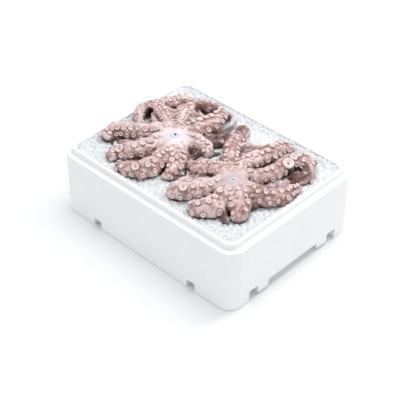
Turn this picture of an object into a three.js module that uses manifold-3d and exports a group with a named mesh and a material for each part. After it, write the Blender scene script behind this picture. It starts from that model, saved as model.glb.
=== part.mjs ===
// Two whole octopuses, mouth side up, on crushed ice in an expanded-polystyrene fish box.
// Millimetres, +Z up. The origin is on the ground, under the middle of the box.

import * as THREE from 'three';
import { mergeVertices } from 'three/addons/utils/BufferGeometryUtils.js';
import Module from 'manifold-3d';

const wasm = await Module();
wasm.setup();

// ---------------------------------------------------------------- driving sizes

const BOX = {
  length: 400, // along X
  width: 306, // along Y
  wallTop: 119.3, // the flat ledge round the lip
  lipTop: 129.8,
  cornerRadius: 27,
  lipInset: 10.5, // ledge width, from the outer face to the lip
  wall: 17.2, // from the outer face to the cavity
  cavityCornerRadius: 16,
  floor: 30, // top of the inner floor
  softEdge: 2.5,
  lipEdge: 1.6, // how far the lip's top draws in on either side
  cornerSteps: 6,
};

const FOOT = {
  depth: 26, // how far the notches reach in under the box
  longNotchInner: 103, // |X| span of the notches in the long sides
  longNotchOuter: 121,
  longNotchHeight: 16,
  cornerPost: 108, // |Y| where the corner posts of the short sides begin
  padOuter: 87, // |Y| span of the small raised pads
  padInner: 62,
  padLift: 6,
  archHeight: 18, // of the wide arch between the pads
  shortNotchHeight: 22,
  bevel: 4,
};

const ICE = {
  level: 120, // mean height of the loose ice
  lump: 2.8, // half the height of its lumps
  pitch: 9.6, // spacing of the lumps
  bed: 119.6, // no lump under or right beside an octopus stands higher
  bedReach: 1.35, // how far that holds round an octopus, in lump spacings
  clearance: 0.4, // from the box
  edgeRise: 1.6, // it banks up against the walls
  edgeReach: 24, // and begins to this far from them
  seed: 20611,
};

const OCTOPUS = {
  underside: 120, // where the bodies rest on the ice
  hidden: 3, // how far a body is made below that level before it is trimmed
  crownHeight: 151, // top of the skin round the mouth
  // The crown from the beak outwards, as [radius, depth below the crown's top].
  crownProfile: [[0, -1.4], [2.4, 0.6], [5.4, -0.4], [9.4, 1], [14, 3], [20, 6.5], [28, 13], [36, 22]],
  crownFoot: 41, // its radius at the underside
  crownSides: 16,
  webSag: 0.7, // and hangs lower by this share of its sag half-way to the next arm
  webHollow: 0.08, // how far a web's edge draws in between two arms
  webSteps: 3, // facets of a web along its arm
  skirtShare: 0.8, // how far the loose dark skin under the arms reaches
  skirtHollow: 0.2,
  skirtHeight: 125,
};

// Shares are of an arm's length or of its radius.
const ARM = {
  crown: 134.5, // centre line of an arm where it leaves the crown
  rootShare: 0.65, // how far its root runs on from the route's start towards the mouth
  rootRadius: 0.72, // it swells from this share of its greatest radius
  swellEnd: 0.35,
  taperStart: 0.6,
  restShare: 0.5, // height of the centre line over the ice
  foot: 1, // the arm's lower half reaches this far below the resting level
  fall: 2.6, // how steeply it comes down from the crown
  diveStart: 0.72, // where the tip turns down
  bluntReach: 0.6, // the last stretch rounds off, in tip radii
  bluntShare: 0.55,
  sides: 8, // facets round an arm
  step: 13, // spacing of its rings
  flatten: 0.95, // it is a little flatter across its sucker face
  twistReach: 0.3, // a twist is complete this far beyond its start
};

const SUCKER = {
  firstShare: 0.2, // where the rows start along an arm
  rowSplit: 1.2, // an outsized sucker keeps clear those of the rows nearer than this
  looseShare: 0.05, // and along a stretch that doesn't start at the crown
  lastShare: 0.97,
  growEnd: 0.42, // they reach full size here
  rootSize: 0.42, // and start from this share of it
  sunk: 1, // how far out a sucker sits, as a share of the arm's radius
  pitch: 1.3, // advance from one to the next, in sucker radii
  cupped: 5.6, // from this radius up they are cupped, and below it plain studs
  smallest: 4.4, // finer ones are left to the skin
  cupSides: 6,
  studSides: 5,
};

// The arms are rolled so that their suckers lean towards this side, the +X -Y corner.
const LEAN_SIDE = new THREE.Vector3(0.695, -0.719, 0);

// One arm: its greatest and tip radius, the roll of its suckers in degrees and its route in
// plan. Beyond that: how far the tip dives, the height that its middle stretch rests at, the
// twist of its far stretch in degrees and the share where it begins, the size of its suckers
// as a share of its radius, the angle from the middle of the sucker face to each row, and any
// outsized suckers as [share of the length, row, radius]. The web to the next arm reaches to
// the share web, leaves the arms the share rise of their radius above the centre line and
// hangs by sag. A loose stretch doesn't start at the crown, and a bare one, a fold of web or
// flank, has no suckers.
const arm = (thick, tip, lean, route, more) => ({
  thick, tip, lean, route, dive: 3, crown: ARM.crown, twist: 0, spread: 35, rise: -0.25, sag: 7, big: [],
  loose: false, bare: false, ...more,
});

const LEFT = {
  name: 'octopus_left',
  mouth: [-61, -12],
  arms: [
    arm(17, 10, 62, [[-103, -8], [-122, -22], [-140, -35], [-154, -45], [-165, -57], [-168, -69], [-161, -80]],
      { rest: 130.8, sucker: 0.31, web: 0.95, spread: 22, sag: 9 }),
    arm(17, 12, 51, [[-82, -21], [-86, -45], [-94, -66], [-106, -83], [-120, -95], [-116, -108]],
      { sucker: 0.34, web: 0.9, spread: 29, big: [[0.79, -1, 7.2]] }),
    arm(17.5, 10, 58, [[-52, -33], [-47, -58], [-44, -82], [-50, -101], [-66, -111], [-82, -116], [-95, -110]],
      { sucker: 0.34, web: 0.8, spread: 26, big: [[0.68, -1, 7]] }),
    arm(15, 9.5, 46, [[-42, -19], [-31, -36], [-21, -54], [-14, -71], [-11, -84]],
      { sucker: 0.34, web: 0.45 }),
    arm(13.5, 11, 50, [[-54, 16], [-36, 20], [-18, 21], [-7, 9]],
      { sucker: 0.31, web: 0.95, spread: 30 }),
    arm(18.7, 12, 40, [[-69, 32], [-62, 49], [-58, 70], [-62, 95], [-70, 117]],
      { crown: 133.2, rest: 128.1, sucker: 0.3, web: 0.7, rise: 0.35, sag: 2 }),
    arm(12.8, 8.5, 28, [[-98, 39], [-109, 67], [-114, 87], [-103, 100], [-91, 110], [-77, 114]],
      { rest: 134, twistFrom: 0.45, twist: 110, sucker: 0.33, web: 0.75, rise: 0.5, sag: 1 }),
    arm(12, 9.4, 30, [[-108, 17], [-137, 31], [-157, 38], [-168, 38]],
      { rest: 137, sucker: 0.32, web: 0.5 }),
    arm(10, 8.5, -40, [[-158, 38], [-169, 33], [-171, 20], [-165, 3], [-148, -14]],
      { loose: true, dive: 0, crown: 137, rest: 137, sucker: 0.3 }),
    arm(11.5, 9.5, -10, [[-155, 40], [-155, 54], [-148, 66], [-142, 78], [-132, 89], [-118, 84]],
      { loose: true, dive: 0, crown: 135, rest: 135, sucker: 0.3 }),
    arm(5.2, 2, 30, [[-69, 113], [-53, 119], [-38, 111], [-31, 94], [-33, 84]],
      { bare: true, loose: true, dive: 2, crown: 131, rest: 131 }),
    arm(12, 9.5, 30, [[-46, 41], [-32, 48], [-26, 64], [-28, 83]],
      { bare: true, loose: true, dive: 0, crown: 119, rest: 119 }),
    arm(10.5, 8.5, 30, [[-42, 34], [-27, 38], [-16, 46], [-19, 58]],
      { bare: true, loose: true, dive: 0, crown: 123, rest: 123 }),
    arm(8, 6.5, 30, [[-26, -30], [-15, -46], [-5, -60], [-1, -76]],
      { bare: true, loose: true, dive: 0, crown: 118.5, rest: 118.5 }),
  ],
};

const RIGHT = {
  name: 'octopus_right',
  mouth: [94, -35],
  arms: [
    arm(16.2, 12, 36, [[49, 8], [28, 33], [10, 58], [-1, 86], [-13, 107]],
      { twistFrom: 0.5, twist: -100, sucker: 0.28, web: 0.55, rise: 0.4, sag: 2 }),
    arm(15.3, 11, 42, [[64, 22], [67, 45], [74, 68], [75, 97], [76, 118], [85, 111]],
      { sucker: 0.33, web: 0.9 }),
    arm(14.6, 12, 52,
      [[88, 5], [102, 18], [110.5, 38], [114, 60], [114, 83], [119, 101], [138, 101],
        [152, 84], [153, 68], [145, 58]],
      { twistFrom: 0.6, twist: 95, sucker: 0.355, web: 0.5, big: [[0.475, 0.26, 10.4], [0.575, 0.9, 6.6]] }),
    arm(17, 10, 47, [[113, -21], [137, -20], [151, -10], [161, 6], [161, 30], [163, 46]],
      { sucker: 0.31, web: 0.9, spread: 29 }),
    arm(18.7, 14.5, 46, [[106, -38], [123, -54], [139, -70], [148, -79]],
      { sucker: 0.31, web: 0.95 }),
    arm(18.7, 12, 46, [[91, -46], [99, -69], [101, -92], [90, -105], [75, -113]],
      { crown: 133.3, rest: 127.9, sucker: 0.33, web: 0.95 }),
    arm(17.9, 16, 54, [[72, -38], [67, -62], [56, -78], [41, -92], [25, -105]],
      { sucker: 0.3, web: 1, rise: 0, spread: 27, sag: 3, big: [[0.8, -1, 7.4]] }),
    arm(17, 12, 40, [[48, -15], [28, -22], [10, -30], [-4, -32]],
      { sucker: 0.21, web: 0.75, spread: 30 }),
    arm(4.8, 2.6, 34, [[62, 113], [55, 95], [44, 77], [27, 65]],
      { bare: true, loose: true, dive: 0, crown: 129.5, rest: 129.5 }),
    arm(12, 9, 30, [[50, -44], [35, -59], [19, -70], [17, -86]],
      { bare: true, loose: true, dive: 0, crown: 121, rest: 121 }),
    arm(7.7, 6.8, 30, [[115, -71], [126, -88], [134, -97]],
      { bare: true, loose: true, dive: 0, crown: 124, rest: 124 }),
    arm(12, 8.5, 30, [[123, -24], [139, -34], [146, -37]],
      { bare: true, loose: true, dive: 0, crown: 126, rest: 126 }),
  ],
};

const SHORTEST_EDGE = 1.4; // finer facets are drawn together
const SAME_WAY = 0.5; // least cosine between a facet's normals before and after that

const COLOURS = {
  foam: 0xf2f5f4,
  ice: 0xe4ebef,
  skin: 0xc99f98,
};

// ---------------------------------------------------------------- solids

/** A closed three.js geometry as a manifold solid, with its faces turned outwards. */
function solid(geometry) {
  const bare = geometry.clone();
  for (const name of Object.keys(bare.attributes)) {
    if (name !== 'position') bare.deleteAttribute(name);
  }
  const welded = mergeVertices(bare, 1e-4);
  const corner = welded.index.array;
  const place = welded.attributes.position;
  const a = new THREE.Vector3();
  const b = new THREE.Vector3();
  const c = new THREE.Vector3();
  const kept = [];
  let volume = 0;
  for (let i = 0; i < corner.length; i += 3) {
    const [p, q, r] = [corner[i], corner[i + 1], corner[i + 2]];
    if (p === q || q === r || r === p) continue;
    kept.push(p, q, r);
    a.fromBufferAttribute(place, p);
    b.fromBufferAttribute(place, q);
    c.fromBufferAttribute(place, r);
    volume += a.dot(b.cross(c));
  }
  if (volume < 0) {
    for (let i = 0; i < kept.length; i += 3) [kept[i], kept[i + 1]] = [kept[i + 1], kept[i]];
  }
  return new wasm.Manifold(new wasm.Mesh({
    numProp: 3,
    vertProperties: Float32Array.from(place.array),
    triVerts: Uint32Array.from(kept),
  }));
}

/** The largest body of a solid, without loose scraps and without closed hollows. */
function largestBody(whole) {
  return whole.decompose().reduce((best, body) => (body.volume() > best.volume() ? body : best));
}

/** Whether the faces round one corner still look the same way once it is moved onto another. */
function keepsFacing(faces, from, onto, place) {
  const normalOf = (corners) => new THREE.Triangle(...corners).getNormal(new THREE.Vector3());
  return faces.filter((face) => !face.includes(onto)).every((face) => {
    const before = normalOf(face.map((k) => place[k]));
    const after = normalOf(face.map((k) => place[k === from ? onto : k]));
    return before.dot(after) > SAME_WAY;
  });
}

/** Draws the edges that joining and cutting left too short together, one corner onto the other. */
function withoutShortEdges(place, faces, shortest) {
  const around = place.map(() => new Set());
  faces.forEach((face) => face.forEach((k) => around[k].add(face)));
  const neighbours = (k) => new Set([...around[k]].flat().filter((n) => n !== k));
  const edges = faces.flatMap(([a, b, c]) => [[a, b], [b, c], [c, a]])
    .filter(([a, b]) => a < b && place[a].distanceTo(place[b]) < shortest)
    .sort((e, f) => place[e[0]].distanceTo(place[e[1]]) - place[f[0]].distanceTo(place[f[1]]));
  let joined = 0;
  for (const [kept, gone] of edges) {
    if (!around[kept].size || !around[gone].size) continue;
    if (place[kept].distanceTo(place[gone]) >= shortest) continue;
    const near = neighbours(kept);
    if (!near.has(gone)) continue;
    const shared = [...neighbours(gone)].filter((k) => near.has(k));
    if (shared.length !== 2) continue;
    if (!keepsFacing([...around[gone]], gone, kept, place)) continue;
    for (const face of [...around[gone]]) {
      if (face.includes(kept)) {
        face.forEach((k) => around[k].delete(face));
        face.length = 0;
      } else {
        face[face.indexOf(gone)] = kept;
        around[kept].add(face);
      }
    }
    around[gone].clear();
    joined += 1;
  }
  return joined;
}

/** A manifold solid as a named mesh. */
function meshOf(name, body, colour, roughness) {
  const { vertProperties, triVerts } = body.getMesh();
  const place = Array.from({ length: vertProperties.length / 3 }, (_, i) => (
    new THREE.Vector3().fromArray(vertProperties, 3 * i)
  ));
  let faces = Array.from({ length: triVerts.length / 3 }, (_, i) => [...triVerts.slice(3 * i, 3 * i + 3)]);
  while (withoutShortEdges(place, faces, SHORTEST_EDGE) > 0) faces = faces.filter((face) => face.length);
  const geometry = geometryOf(place, faces.flat());
  geometry.computeVertexNormals();
  const mesh = new THREE.Mesh(geometry, new THREE.MeshStandardMaterial({ color: colour, roughness, metalness: 0 }));
  mesh.name = name;
  return mesh;
}

/** A geometry from vertex positions and triangles. */
function geometryOf(points, triangles) {
  const geometry = new THREE.BufferGeometry();
  geometry.setAttribute('position', new THREE.Float32BufferAttribute(points.flatMap((p) => p.toArray()), 3));
  geometry.setIndex(triangles);
  return geometry;
}

/** A closed form through a stack of loops that all have the same number of points. */
function loft(loops) {
  const count = loops[0].length;
  const points = loops.flat();
  const triangles = [];
  for (let level = 0; level + 1 < loops.length; level += 1) {
    for (let i = 0; i < count; i += 1) {
      const a = level * count + i;
      const b = level * count + ((i + 1) % count);
      triangles.push(a, b, b + count, a, b + count, a + count);
    }
  }
  const cap = (level, turned) => {
    const middle = new THREE.Vector3();
    for (const p of loops[level]) middle.addScaledVector(p, 1 / count);
    points.push(middle);
    for (let i = 0; i < count; i += 1) {
      const a = level * count + i;
      const b = level * count + ((i + 1) % count);
      triangles.push(...(turned ? [points.length - 1, b, a] : [points.length - 1, a, b]));
    }
  };
  cap(0, true);
  cap(loops.length - 1, false);
  return geometryOf(points, triangles);
}

const smooth = (from, to, value) => THREE.MathUtils.smoothstep(value, from, to);

/** A repeatable stream of numbers from 0 to 1. */
function randomStream(seed) {
  let state = seed;
  return () => {
    state = (Math.imul(state, 1664525) + 1013904223) >>> 0;
    return state / 4294967296;
  };
}

// ---------------------------------------------------------------- the foam box

/** A rounded rectangle at a height, drawn in from the box's outer face. */
function boxLoop(inset, z, radius) {
  const halfX = BOX.length / 2 - inset;
  const halfY = BOX.width / 2 - inset;
  const loop = [];
  for (let corner = 0; corner < 4; corner += 1) {
    const signX = corner === 0 || corner === 3 ? 1 : -1;
    const signY = corner < 2 ? 1 : -1;
    for (let i = 0; i <= BOX.cornerSteps; i += 1) {
      const angle = (corner + i / BOX.cornerSteps) * Math.PI / 2;
      loop.push(new THREE.Vector3(
        signX * (halfX - radius) + radius * Math.cos(angle),
        signY * (halfY - radius) + radius * Math.sin(angle),
        z,
      ));
    }
  }
  return loop;
}

/** The block that fills the cavity from its floor upwards, drawn in by a clearance. */
function cavityBlock(clearance, top) {
  const inset = BOX.wall + clearance;
  const radius = BOX.cavityCornerRadius - clearance;
  return solid(loft([boxLoop(inset, BOX.floor + clearance, radius), boxLoop(inset, top, radius)]));
}

/** A profile across one side of the underside, pushed along Y and put in place by a matrix. */
function footCut(outline, matrix) {
  const shape = new THREE.Shape(outline.map(([x, y]) => new THREE.Vector2(x, y)));
  const cut = new THREE.ExtrudeGeometry(shape, { depth: FOOT.depth + 1, bevelEnabled: false });
  return solid(cut.applyMatrix4(matrix));
}

/** Half of a profile, mirrored to both sides. */
const mirrored = (half) => [...half.map(([x, y]) => [-x, y]), ...[...half].reverse()];

function foamBox() {
  const soft = BOX.softEdge;
  const lip = BOX.lipInset;
  const outer = BOX.cornerRadius;
  const inner = BOX.cavityCornerRadius;
  let body = solid(loft([
    boxLoop(soft, 0, outer - soft),
    boxLoop(0, soft, outer),
    boxLoop(0, BOX.wallTop - soft, outer),
    boxLoop(soft, BOX.wallTop, outer - soft),
    boxLoop(lip, BOX.wallTop, outer - lip),
    boxLoop(lip, BOX.lipTop - soft, outer - lip),
    boxLoop(lip + BOX.lipEdge, BOX.lipTop, outer - lip),
    boxLoop(BOX.wall - BOX.lipEdge, BOX.lipTop, inner),
    boxLoop(BOX.wall, BOX.lipTop - soft, inner),
    boxLoop(BOX.wall, BOX.floor, inner),
  ]));

  const { bevel } = FOOT;
  const archProfile = mirrored([
    [FOOT.cornerPost, -1],
    [FOOT.cornerPost, FOOT.shortNotchHeight - bevel],
    [FOOT.cornerPost - bevel, FOOT.shortNotchHeight],
    [FOOT.padOuter + bevel, FOOT.shortNotchHeight],
    [FOOT.padOuter, FOOT.shortNotchHeight - bevel],
    [FOOT.padOuter, FOOT.padLift],
    [FOOT.padInner, FOOT.padLift],
    [FOOT.padInner, FOOT.archHeight - bevel],
    [FOOT.padInner - bevel, FOOT.archHeight],
  ]);
  const middle = (FOOT.longNotchInner + FOOT.longNotchOuter) / 2;
  const half = (FOOT.longNotchOuter - FOOT.longNotchInner) / 2;
  const notchProfile = mirrored([
    [half, -1],
    [half, FOOT.longNotchHeight - bevel],
    [half - bevel, FOOT.longNotchHeight],
  ]);

  for (const side of [-1, 1]) {
    // The short sides: an arch with two raised pads, cut inwards from the outer face.
    const turn = side > 0 ? -Math.PI / 2 : Math.PI / 2;
    const arch = new THREE.Matrix4().makeTranslation(side * (BOX.length / 2 + 1), 0, 0)
      .multiply(new THREE.Matrix4().makeRotationZ(turn))
      .multiply(new THREE.Matrix4().makeRotationX(Math.PI / 2));
    body = body.subtract(footCut(archProfile, arch));
    for (const end of [-1, 1]) {
      const notch = new THREE.Matrix4().makeTranslation(end * middle, side * (BOX.width / 2 + 1), 0)
        .multiply(new THREE.Matrix4().makeRotationZ(side > 0 ? 0 : Math.PI))
        .multiply(new THREE.Matrix4().makeRotationX(Math.PI / 2));
      body = body.subtract(footCut(notchProfile, notch));
    }
  }
  return meshOf('foam_box', body, COLOURS.foam, 0.75);
}

// ---------------------------------------------------------------- the octopuses

/** One arm's form: where its centre line runs, how thick it is and which way its suckers face. */
class Arm {
  constructor(spec, mouth) {
    Object.assign(this, spec);
    const plan = spec.route.map(([x, y]) => new THREE.Vector2(x, y));
    if (!spec.loose) plan.unshift(plan[0].clone().lerp(new THREE.Vector2(...mouth), ARM.rootShare));
    const run = plan.map(() => 0);
    for (let i = 1; i < plan.length; i += 1) run[i] = run[i - 1] + plan[i].distanceTo(plan[i - 1]);
    const waypoints = plan.map((p, i) => new THREE.Vector3(p.x, p.y, this.height(run[i] / run.at(-1))));
    this.curve = new THREE.CatmullRomCurve3(waypoints, false, 'centripetal');
    this.length = this.curve.getLength();
  }

  radius(share) {
    const swell = this.loose ? 1 : ARM.rootRadius + (1 - ARM.rootRadius) * smooth(0, ARM.swellEnd, share);
    return this.thick * swell * (1 - (1 - this.tip / this.thick) * smooth(ARM.taperStart, 1, share));
  }

  height(share) {
    const rest = this.rest ?? OCTOPUS.underside + ARM.restShare * this.radius(share);
    return rest + (this.crown - rest) * (1 - share) ** ARM.fall - this.dive * smooth(ARM.diveStart, 1, share);
  }

  /** The centre and the axes across the arm at a share of its length. */
  frame(share) {
    const t = THREE.MathUtils.clamp(share, 0, 1);
    const centre = this.curve.getPointAt(t);
    const along = this.curve.getTangentAt(t);
    const lean = THREE.MathUtils.degToRad(this.lean);
    const face = LEAN_SIDE.clone().multiplyScalar(Math.sin(lean));
    face.z = Math.cos(lean);
    face.addScaledVector(along, -face.dot(along)).normalize();
    if (this.twist) {
      const turn = THREE.MathUtils.degToRad(this.twist) * smooth(this.twistFrom, this.twistFrom + ARM.twistReach, t);
      face.applyAxisAngle(along, -turn);
    }
    const side = new THREE.Vector3().crossVectors(face, along);
    return { centre, along, face, side };
  }

  /** A closed cylinder bent along the centre line, drawn in to a blunt tip. */
  body() {
    const tube = new THREE.CylinderGeometry(1, 1, 1, ARM.sides, Math.round(this.length / ARM.step));
    const place = tube.attributes.position;
    for (let i = 0; i < place.count; i += 1) {
      const share = 0.5 - place.getY(i);
      const { centre, face, side } = this.frame(share);
      const end = smooth(1 - ARM.bluntReach * this.tip / this.length, 1, share);
      const radius = this.radius(share) * (1 - (1 - ARM.bluntShare) * end);
      const offset = side.multiplyScalar(place.getX(i) * radius);
      offset.addScaledVector(face, place.getZ(i) * radius * ARM.flatten);
      if (offset.z < 0) offset.z *= Math.max(1, (centre.z - OCTOPUS.underside + ARM.foot) / radius);
      centre.add(offset);
      place.setXYZ(i, centre.x, centre.y, centre.z);
    }
    return solid(tube);
  }

  /** Radius of the ordinary suckers at a share of the length: small by the mouth. */
  suckerRadius(share) {
    const grown = SUCKER.rootSize + (1 - SUCKER.rootSize) * smooth(0, SUCKER.growEnd, share);
    return this.sucker * (this.radius(share) + this.thick) / 2 * grown;
  }

  /** The suckers in two staggered rows, as { share, row, radius }. */
  suckers() {
    if (this.bare) return [];
    const all = this.big.map(([share, row, radius]) => ({ share, row, radius }));
    const clearOfBig = (share, row, radius) => this.big.every(([at, side, size]) => (
      Math.abs(side - row) > SUCKER.rowSplit || Math.abs(at - share) * this.length > size + radius
    ));
    let row = 1;
    let share = this.loose ? SUCKER.looseShare : SUCKER.firstShare;
    while (share < SUCKER.lastShare) {
      const radius = this.suckerRadius(share);
      if (clearOfBig(share, row, radius)) all.push({ share, row, radius });
      share += SUCKER.pitch * radius / this.length;
      row = -row;
    }
    return all;
  }
}

/** A disc of unit radius that stands up along Z from a stem inside the arm. */
function disc(profile, sides) {
  const turned = new THREE.LatheGeometry(profile.map(([x, y]) => new THREE.Vector2(x, y)), sides);
  return turned.rotateX(Math.PI / 2);
}

const CUP = disc([[0, -0.6], [0.95, -0.6], [1, 0.24], [0.66, 0.44], [0, 0.18]], SUCKER.cupSides);
const STUD = disc([[0, -0.6], [1, -0.6], [0.9, 0.36], [0, 0.36]], SUCKER.studSides);

/** One sucker on its arm. */
function suckerOn(form, { share, row, radius }) {
  const { centre, along, face, side } = form.frame(share);
  const spread = THREE.MathUtils.degToRad(form.spread) * row;
  const out = face.clone().multiplyScalar(Math.cos(spread)).addScaledVector(side, Math.sin(spread));
  const across = new THREE.Vector3().crossVectors(out, along).normalize();
  const level = new THREE.Vector3().crossVectors(across, out);
  centre.addScaledVector(out, form.radius(share) * SUCKER.sunk);
  const matrix = new THREE.Matrix4().makeBasis(across, level, out).setPosition(centre)
    .multiply(new THREE.Matrix4().makeScale(radius, radius, radius));
  return solid((radius < SUCKER.cupped ? STUD : CUP).clone().applyMatrix4(matrix));
}

/** The smooth crown round the mouth, with the mouth's ring and beak. */
function crown(mouth) {
  const floor = OCTOPUS.underside - OCTOPUS.hidden;
  const profile = OCTOPUS.crownProfile.map(([x, depth]) => new THREE.Vector2(x, OCTOPUS.crownHeight - depth));
  profile.push(new THREE.Vector2(OCTOPUS.crownFoot, floor), new THREE.Vector2(0, floor));
  const dome = new THREE.LatheGeometry(profile, OCTOPUS.crownSides);
  dome.rotateX(Math.PI / 2).translate(mouth[0], mouth[1], 0);
  return solid(dome);
}

/** The loose skin round the arms' roots, as one low block. */
function skirt(mouth, forms) {
  const floor = OCTOPUS.underside - OCTOPUS.hidden;
  const centre = new THREE.Vector3(mouth[0], mouth[1], 0);
  const rim = forms.flatMap((form, i) => {
    const here = form.frame(OCTOPUS.skirtShare).centre;
    const next = forms[(i + 1) % forms.length].frame(OCTOPUS.skirtShare).centre;
    return [here, here.clone().add(next).multiplyScalar(0.5).lerp(centre, OCTOPUS.skirtHollow)];
  });
  const ring = (height) => rim.map((p) => p.clone().setZ(height));
  return solid(loft([ring(floor), ring(OCTOPUS.skirtHeight)]));
}

/** The web between two neighbouring arms, as a row of wedges from the crown outwards. */
function web(mouth, form, next) {
  const floor = OCTOPUS.underside - OCTOPUS.hidden;
  const section = (share) => {
    const [a, b] = [form, next].map((arm) => {
      const { centre } = arm.frame(share);
      centre.z += form.rise * arm.radius(share);
      return centre;
    });
    const middle = a.clone().add(b).multiplyScalar(0.5);
    middle.lerp(new THREE.Vector3(mouth[0], mouth[1], middle.z), OCTOPUS.webHollow);
    middle.z -= OCTOPUS.webSag * form.sag * share / form.web;
    return [...[a, middle, b], ...[b, middle, a].map((p) => p.clone().setZ(floor))];
  };
  let body;
  for (let k = 0; k < OCTOPUS.webSteps; k += 1) {
    const [near, far] = [k, k + 1].map((step) => section(form.web * step / OCTOPUS.webSteps));
    const wedge = wasm.Manifold.hull([...near, ...far].map((p) => p.toArray()));
    body = body ? body.add(wedge) : wedge;
  }
  return body;
}

/** The slab that takes off whatever lies below the resting level. */
function belowRest() {
  const slab = new THREE.BoxGeometry(BOX.length, BOX.width, OCTOPUS.underside);
  return solid(slab.translate(0, 0, OCTOPUS.underside / 2));
}

function octopus({ name, mouth, arms }) {
  const forms = arms.map((spec) => new Arm(spec, mouth));
  const main = forms.filter((form) => !form.loose);
  let body = crown(mouth).add(skirt(mouth, main));
  main.forEach((form, i) => {
    body = body.add(web(mouth, form, main[(i + 1) % main.length]));
  });
  for (const form of forms) {
    let limb = form.body();
    for (const sucker of form.suckers()) {
      if (sucker.radius >= SUCKER.smallest) limb = limb.add(suckerOn(form, sucker));
    }
    body = body.add(limb);
  }
  return meshOf(name, largestBody(body.subtract(belowRest())), COLOURS.skin, 0.35);
}

// ---------------------------------------------------------------- the crushed ice

/** A block with a bumpy top, from a grid of heights. */
function bumpyBlock(halfX, halfY, bottom, heightAt) {
  const nx = Math.round(2 * halfX / ICE.pitch);
  const ny = Math.round(2 * halfY / ICE.pitch);
  const points = [];
  const triangles = [];
  const at = (i, j) => j * (nx + 1) + i;
  for (let j = 0; j <= ny; j += 1) {
    for (let i = 0; i <= nx; i += 1) {
      const x = -halfX + 2 * halfX * i / nx;
      const y = -halfY + 2 * halfY * j / ny;
      points.push(new THREE.Vector3(x, y, heightAt(x, y)));
    }
  }
  for (let j = 0; j < ny; j += 1) {
    for (let i = 0; i < nx; i += 1) {
      const [a, b, c, d] = [at(i, j), at(i + 1, j), at(i + 1, j + 1), at(i, j + 1)];
      triangles.push(...((i + j) % 2 ? [a, b, c, a, c, d] : [a, b, d, b, c, d]));
    }
  }
  const edge = [];
  for (let i = 0; i < nx; i += 1) edge.push(at(i, 0));
  for (let j = 0; j < ny; j += 1) edge.push(at(nx, j));
  for (let i = nx; i > 0; i -= 1) edge.push(at(i, ny));
  for (let j = ny; j > 0; j -= 1) edge.push(at(0, j));
  const start = points.length;
  for (const k of edge) points.push(points[k].clone().setZ(bottom));
  points.push(new THREE.Vector3(0, 0, bottom));
  edge.forEach((k, i) => {
    const n = (i + 1) % edge.length;
    triangles.push(start + i, start + n, edge[n], start + i, edge[n], k, points.length - 1, start + n, start + i);
  });
  return solid(geometryOf(points, triangles));
}

/** A test for plan positions that lie under a mesh or within a reach of it. */
function shadowOf({ geometry: { attributes: { position }, index } }, reach) {
  const faces = [];
  for (let i = 0; i < index.count; i += 3) {
    const [a, b, c] = [0, 1, 2].map((k) => (
      new THREE.Vector3().fromBufferAttribute(position, index.getX(i + k)).setZ(0)
    ));
    faces.push(new THREE.Triangle(a, b, c));
  }
  const nearest = new THREE.Vector3();
  return (point) => faces.some((face) => (
    face.closestPointToPoint(point, nearest).distanceToSquared(point) < reach * reach
  ));
}

/** The ice: lumps about its mean level, and only hollows below the bed where an octopus lies. */
function crushedIce(octopuses) {
  const random = randomStream(ICE.seed);
  const shadows = octopuses.map((mesh) => shadowOf(mesh, ICE.bedReach * ICE.pitch));
  const covered = (x, y) => shadows.some((shadow) => shadow(new THREE.Vector3(x, y, 0)));
  const halfX = BOX.length / 2 - BOX.wall;
  const halfY = BOX.width / 2 - BOX.wall;
  const heightAt = (x, y) => {
    const lump = (2 * random() - 1) * ICE.lump;
    const toWall = Math.min(halfX - Math.abs(x), halfY - Math.abs(y));
    if (covered(x, y)) return ICE.bed - Math.abs(lump);
    return ICE.level + lump + ICE.edgeRise * (1 - smooth(0, ICE.edgeReach, toWall));
  };
  const ice = bumpyBlock(halfX, halfY, BOX.floor, heightAt)
    .intersect(cavityBlock(ICE.clearance, BOX.lipTop));
  return meshOf('crushed_ice', ice, COLOURS.ice, 0.4);
}

// ---------------------------------------------------------------- the whole

const octopuses = [LEFT, RIGHT].map(octopus);

const group = new THREE.Group();
group.add(foamBox(), crushedIce(octopuses), ...octopuses);

export default group;
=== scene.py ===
"""Dresses two whole octopuses that lie mouth side up on crushed ice in a foam fish box.

Lengths are in millimetres in the shared frame, and meshes are made in metres. Shares run from 0 at an
arm's root to 1 at its tip.
"""

import logging
import math
from dataclasses import dataclass, field
from enum import Enum
from itertools import product

import bmesh
import bpy
import numpy as np
from mathutils import Matrix, Vector


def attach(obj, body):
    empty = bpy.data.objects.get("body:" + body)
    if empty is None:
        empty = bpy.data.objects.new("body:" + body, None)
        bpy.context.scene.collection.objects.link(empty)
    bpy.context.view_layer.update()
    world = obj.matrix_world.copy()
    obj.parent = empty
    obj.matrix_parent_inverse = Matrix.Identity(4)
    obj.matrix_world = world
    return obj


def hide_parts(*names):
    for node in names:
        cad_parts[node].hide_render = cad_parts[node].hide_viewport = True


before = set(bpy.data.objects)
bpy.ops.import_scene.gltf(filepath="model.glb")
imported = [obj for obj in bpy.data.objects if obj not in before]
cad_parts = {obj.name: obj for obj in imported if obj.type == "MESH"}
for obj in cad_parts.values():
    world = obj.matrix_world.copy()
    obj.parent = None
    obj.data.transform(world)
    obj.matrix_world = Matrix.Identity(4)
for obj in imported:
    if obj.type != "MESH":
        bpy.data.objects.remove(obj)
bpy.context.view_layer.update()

log = logging.getLogger("fish_box")

MM = 0.001
BODY = "root"
FAR = 30.0  # a distance at which nothing blends any more
ROW_SPLIT = 1.2  # an outsized sucker thins its own row only, up to this step across the arm
PHASE = 6.28  # the range of a random phase
ICE_LEVEL = 119.5  # where the ice meets the octopuses
LEAN_SIDE = np.array([0.695, -0.719, 0.0])  # the level direction to which the suckers lean

Colour = tuple[float, float, float]
Route = tuple[tuple[float, float], ...]


class Slot(Enum):
    """The record's material slots."""

    FOAM = "foam"
    ICE = "ice"
    SKIN = "octopus_skin"


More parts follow.
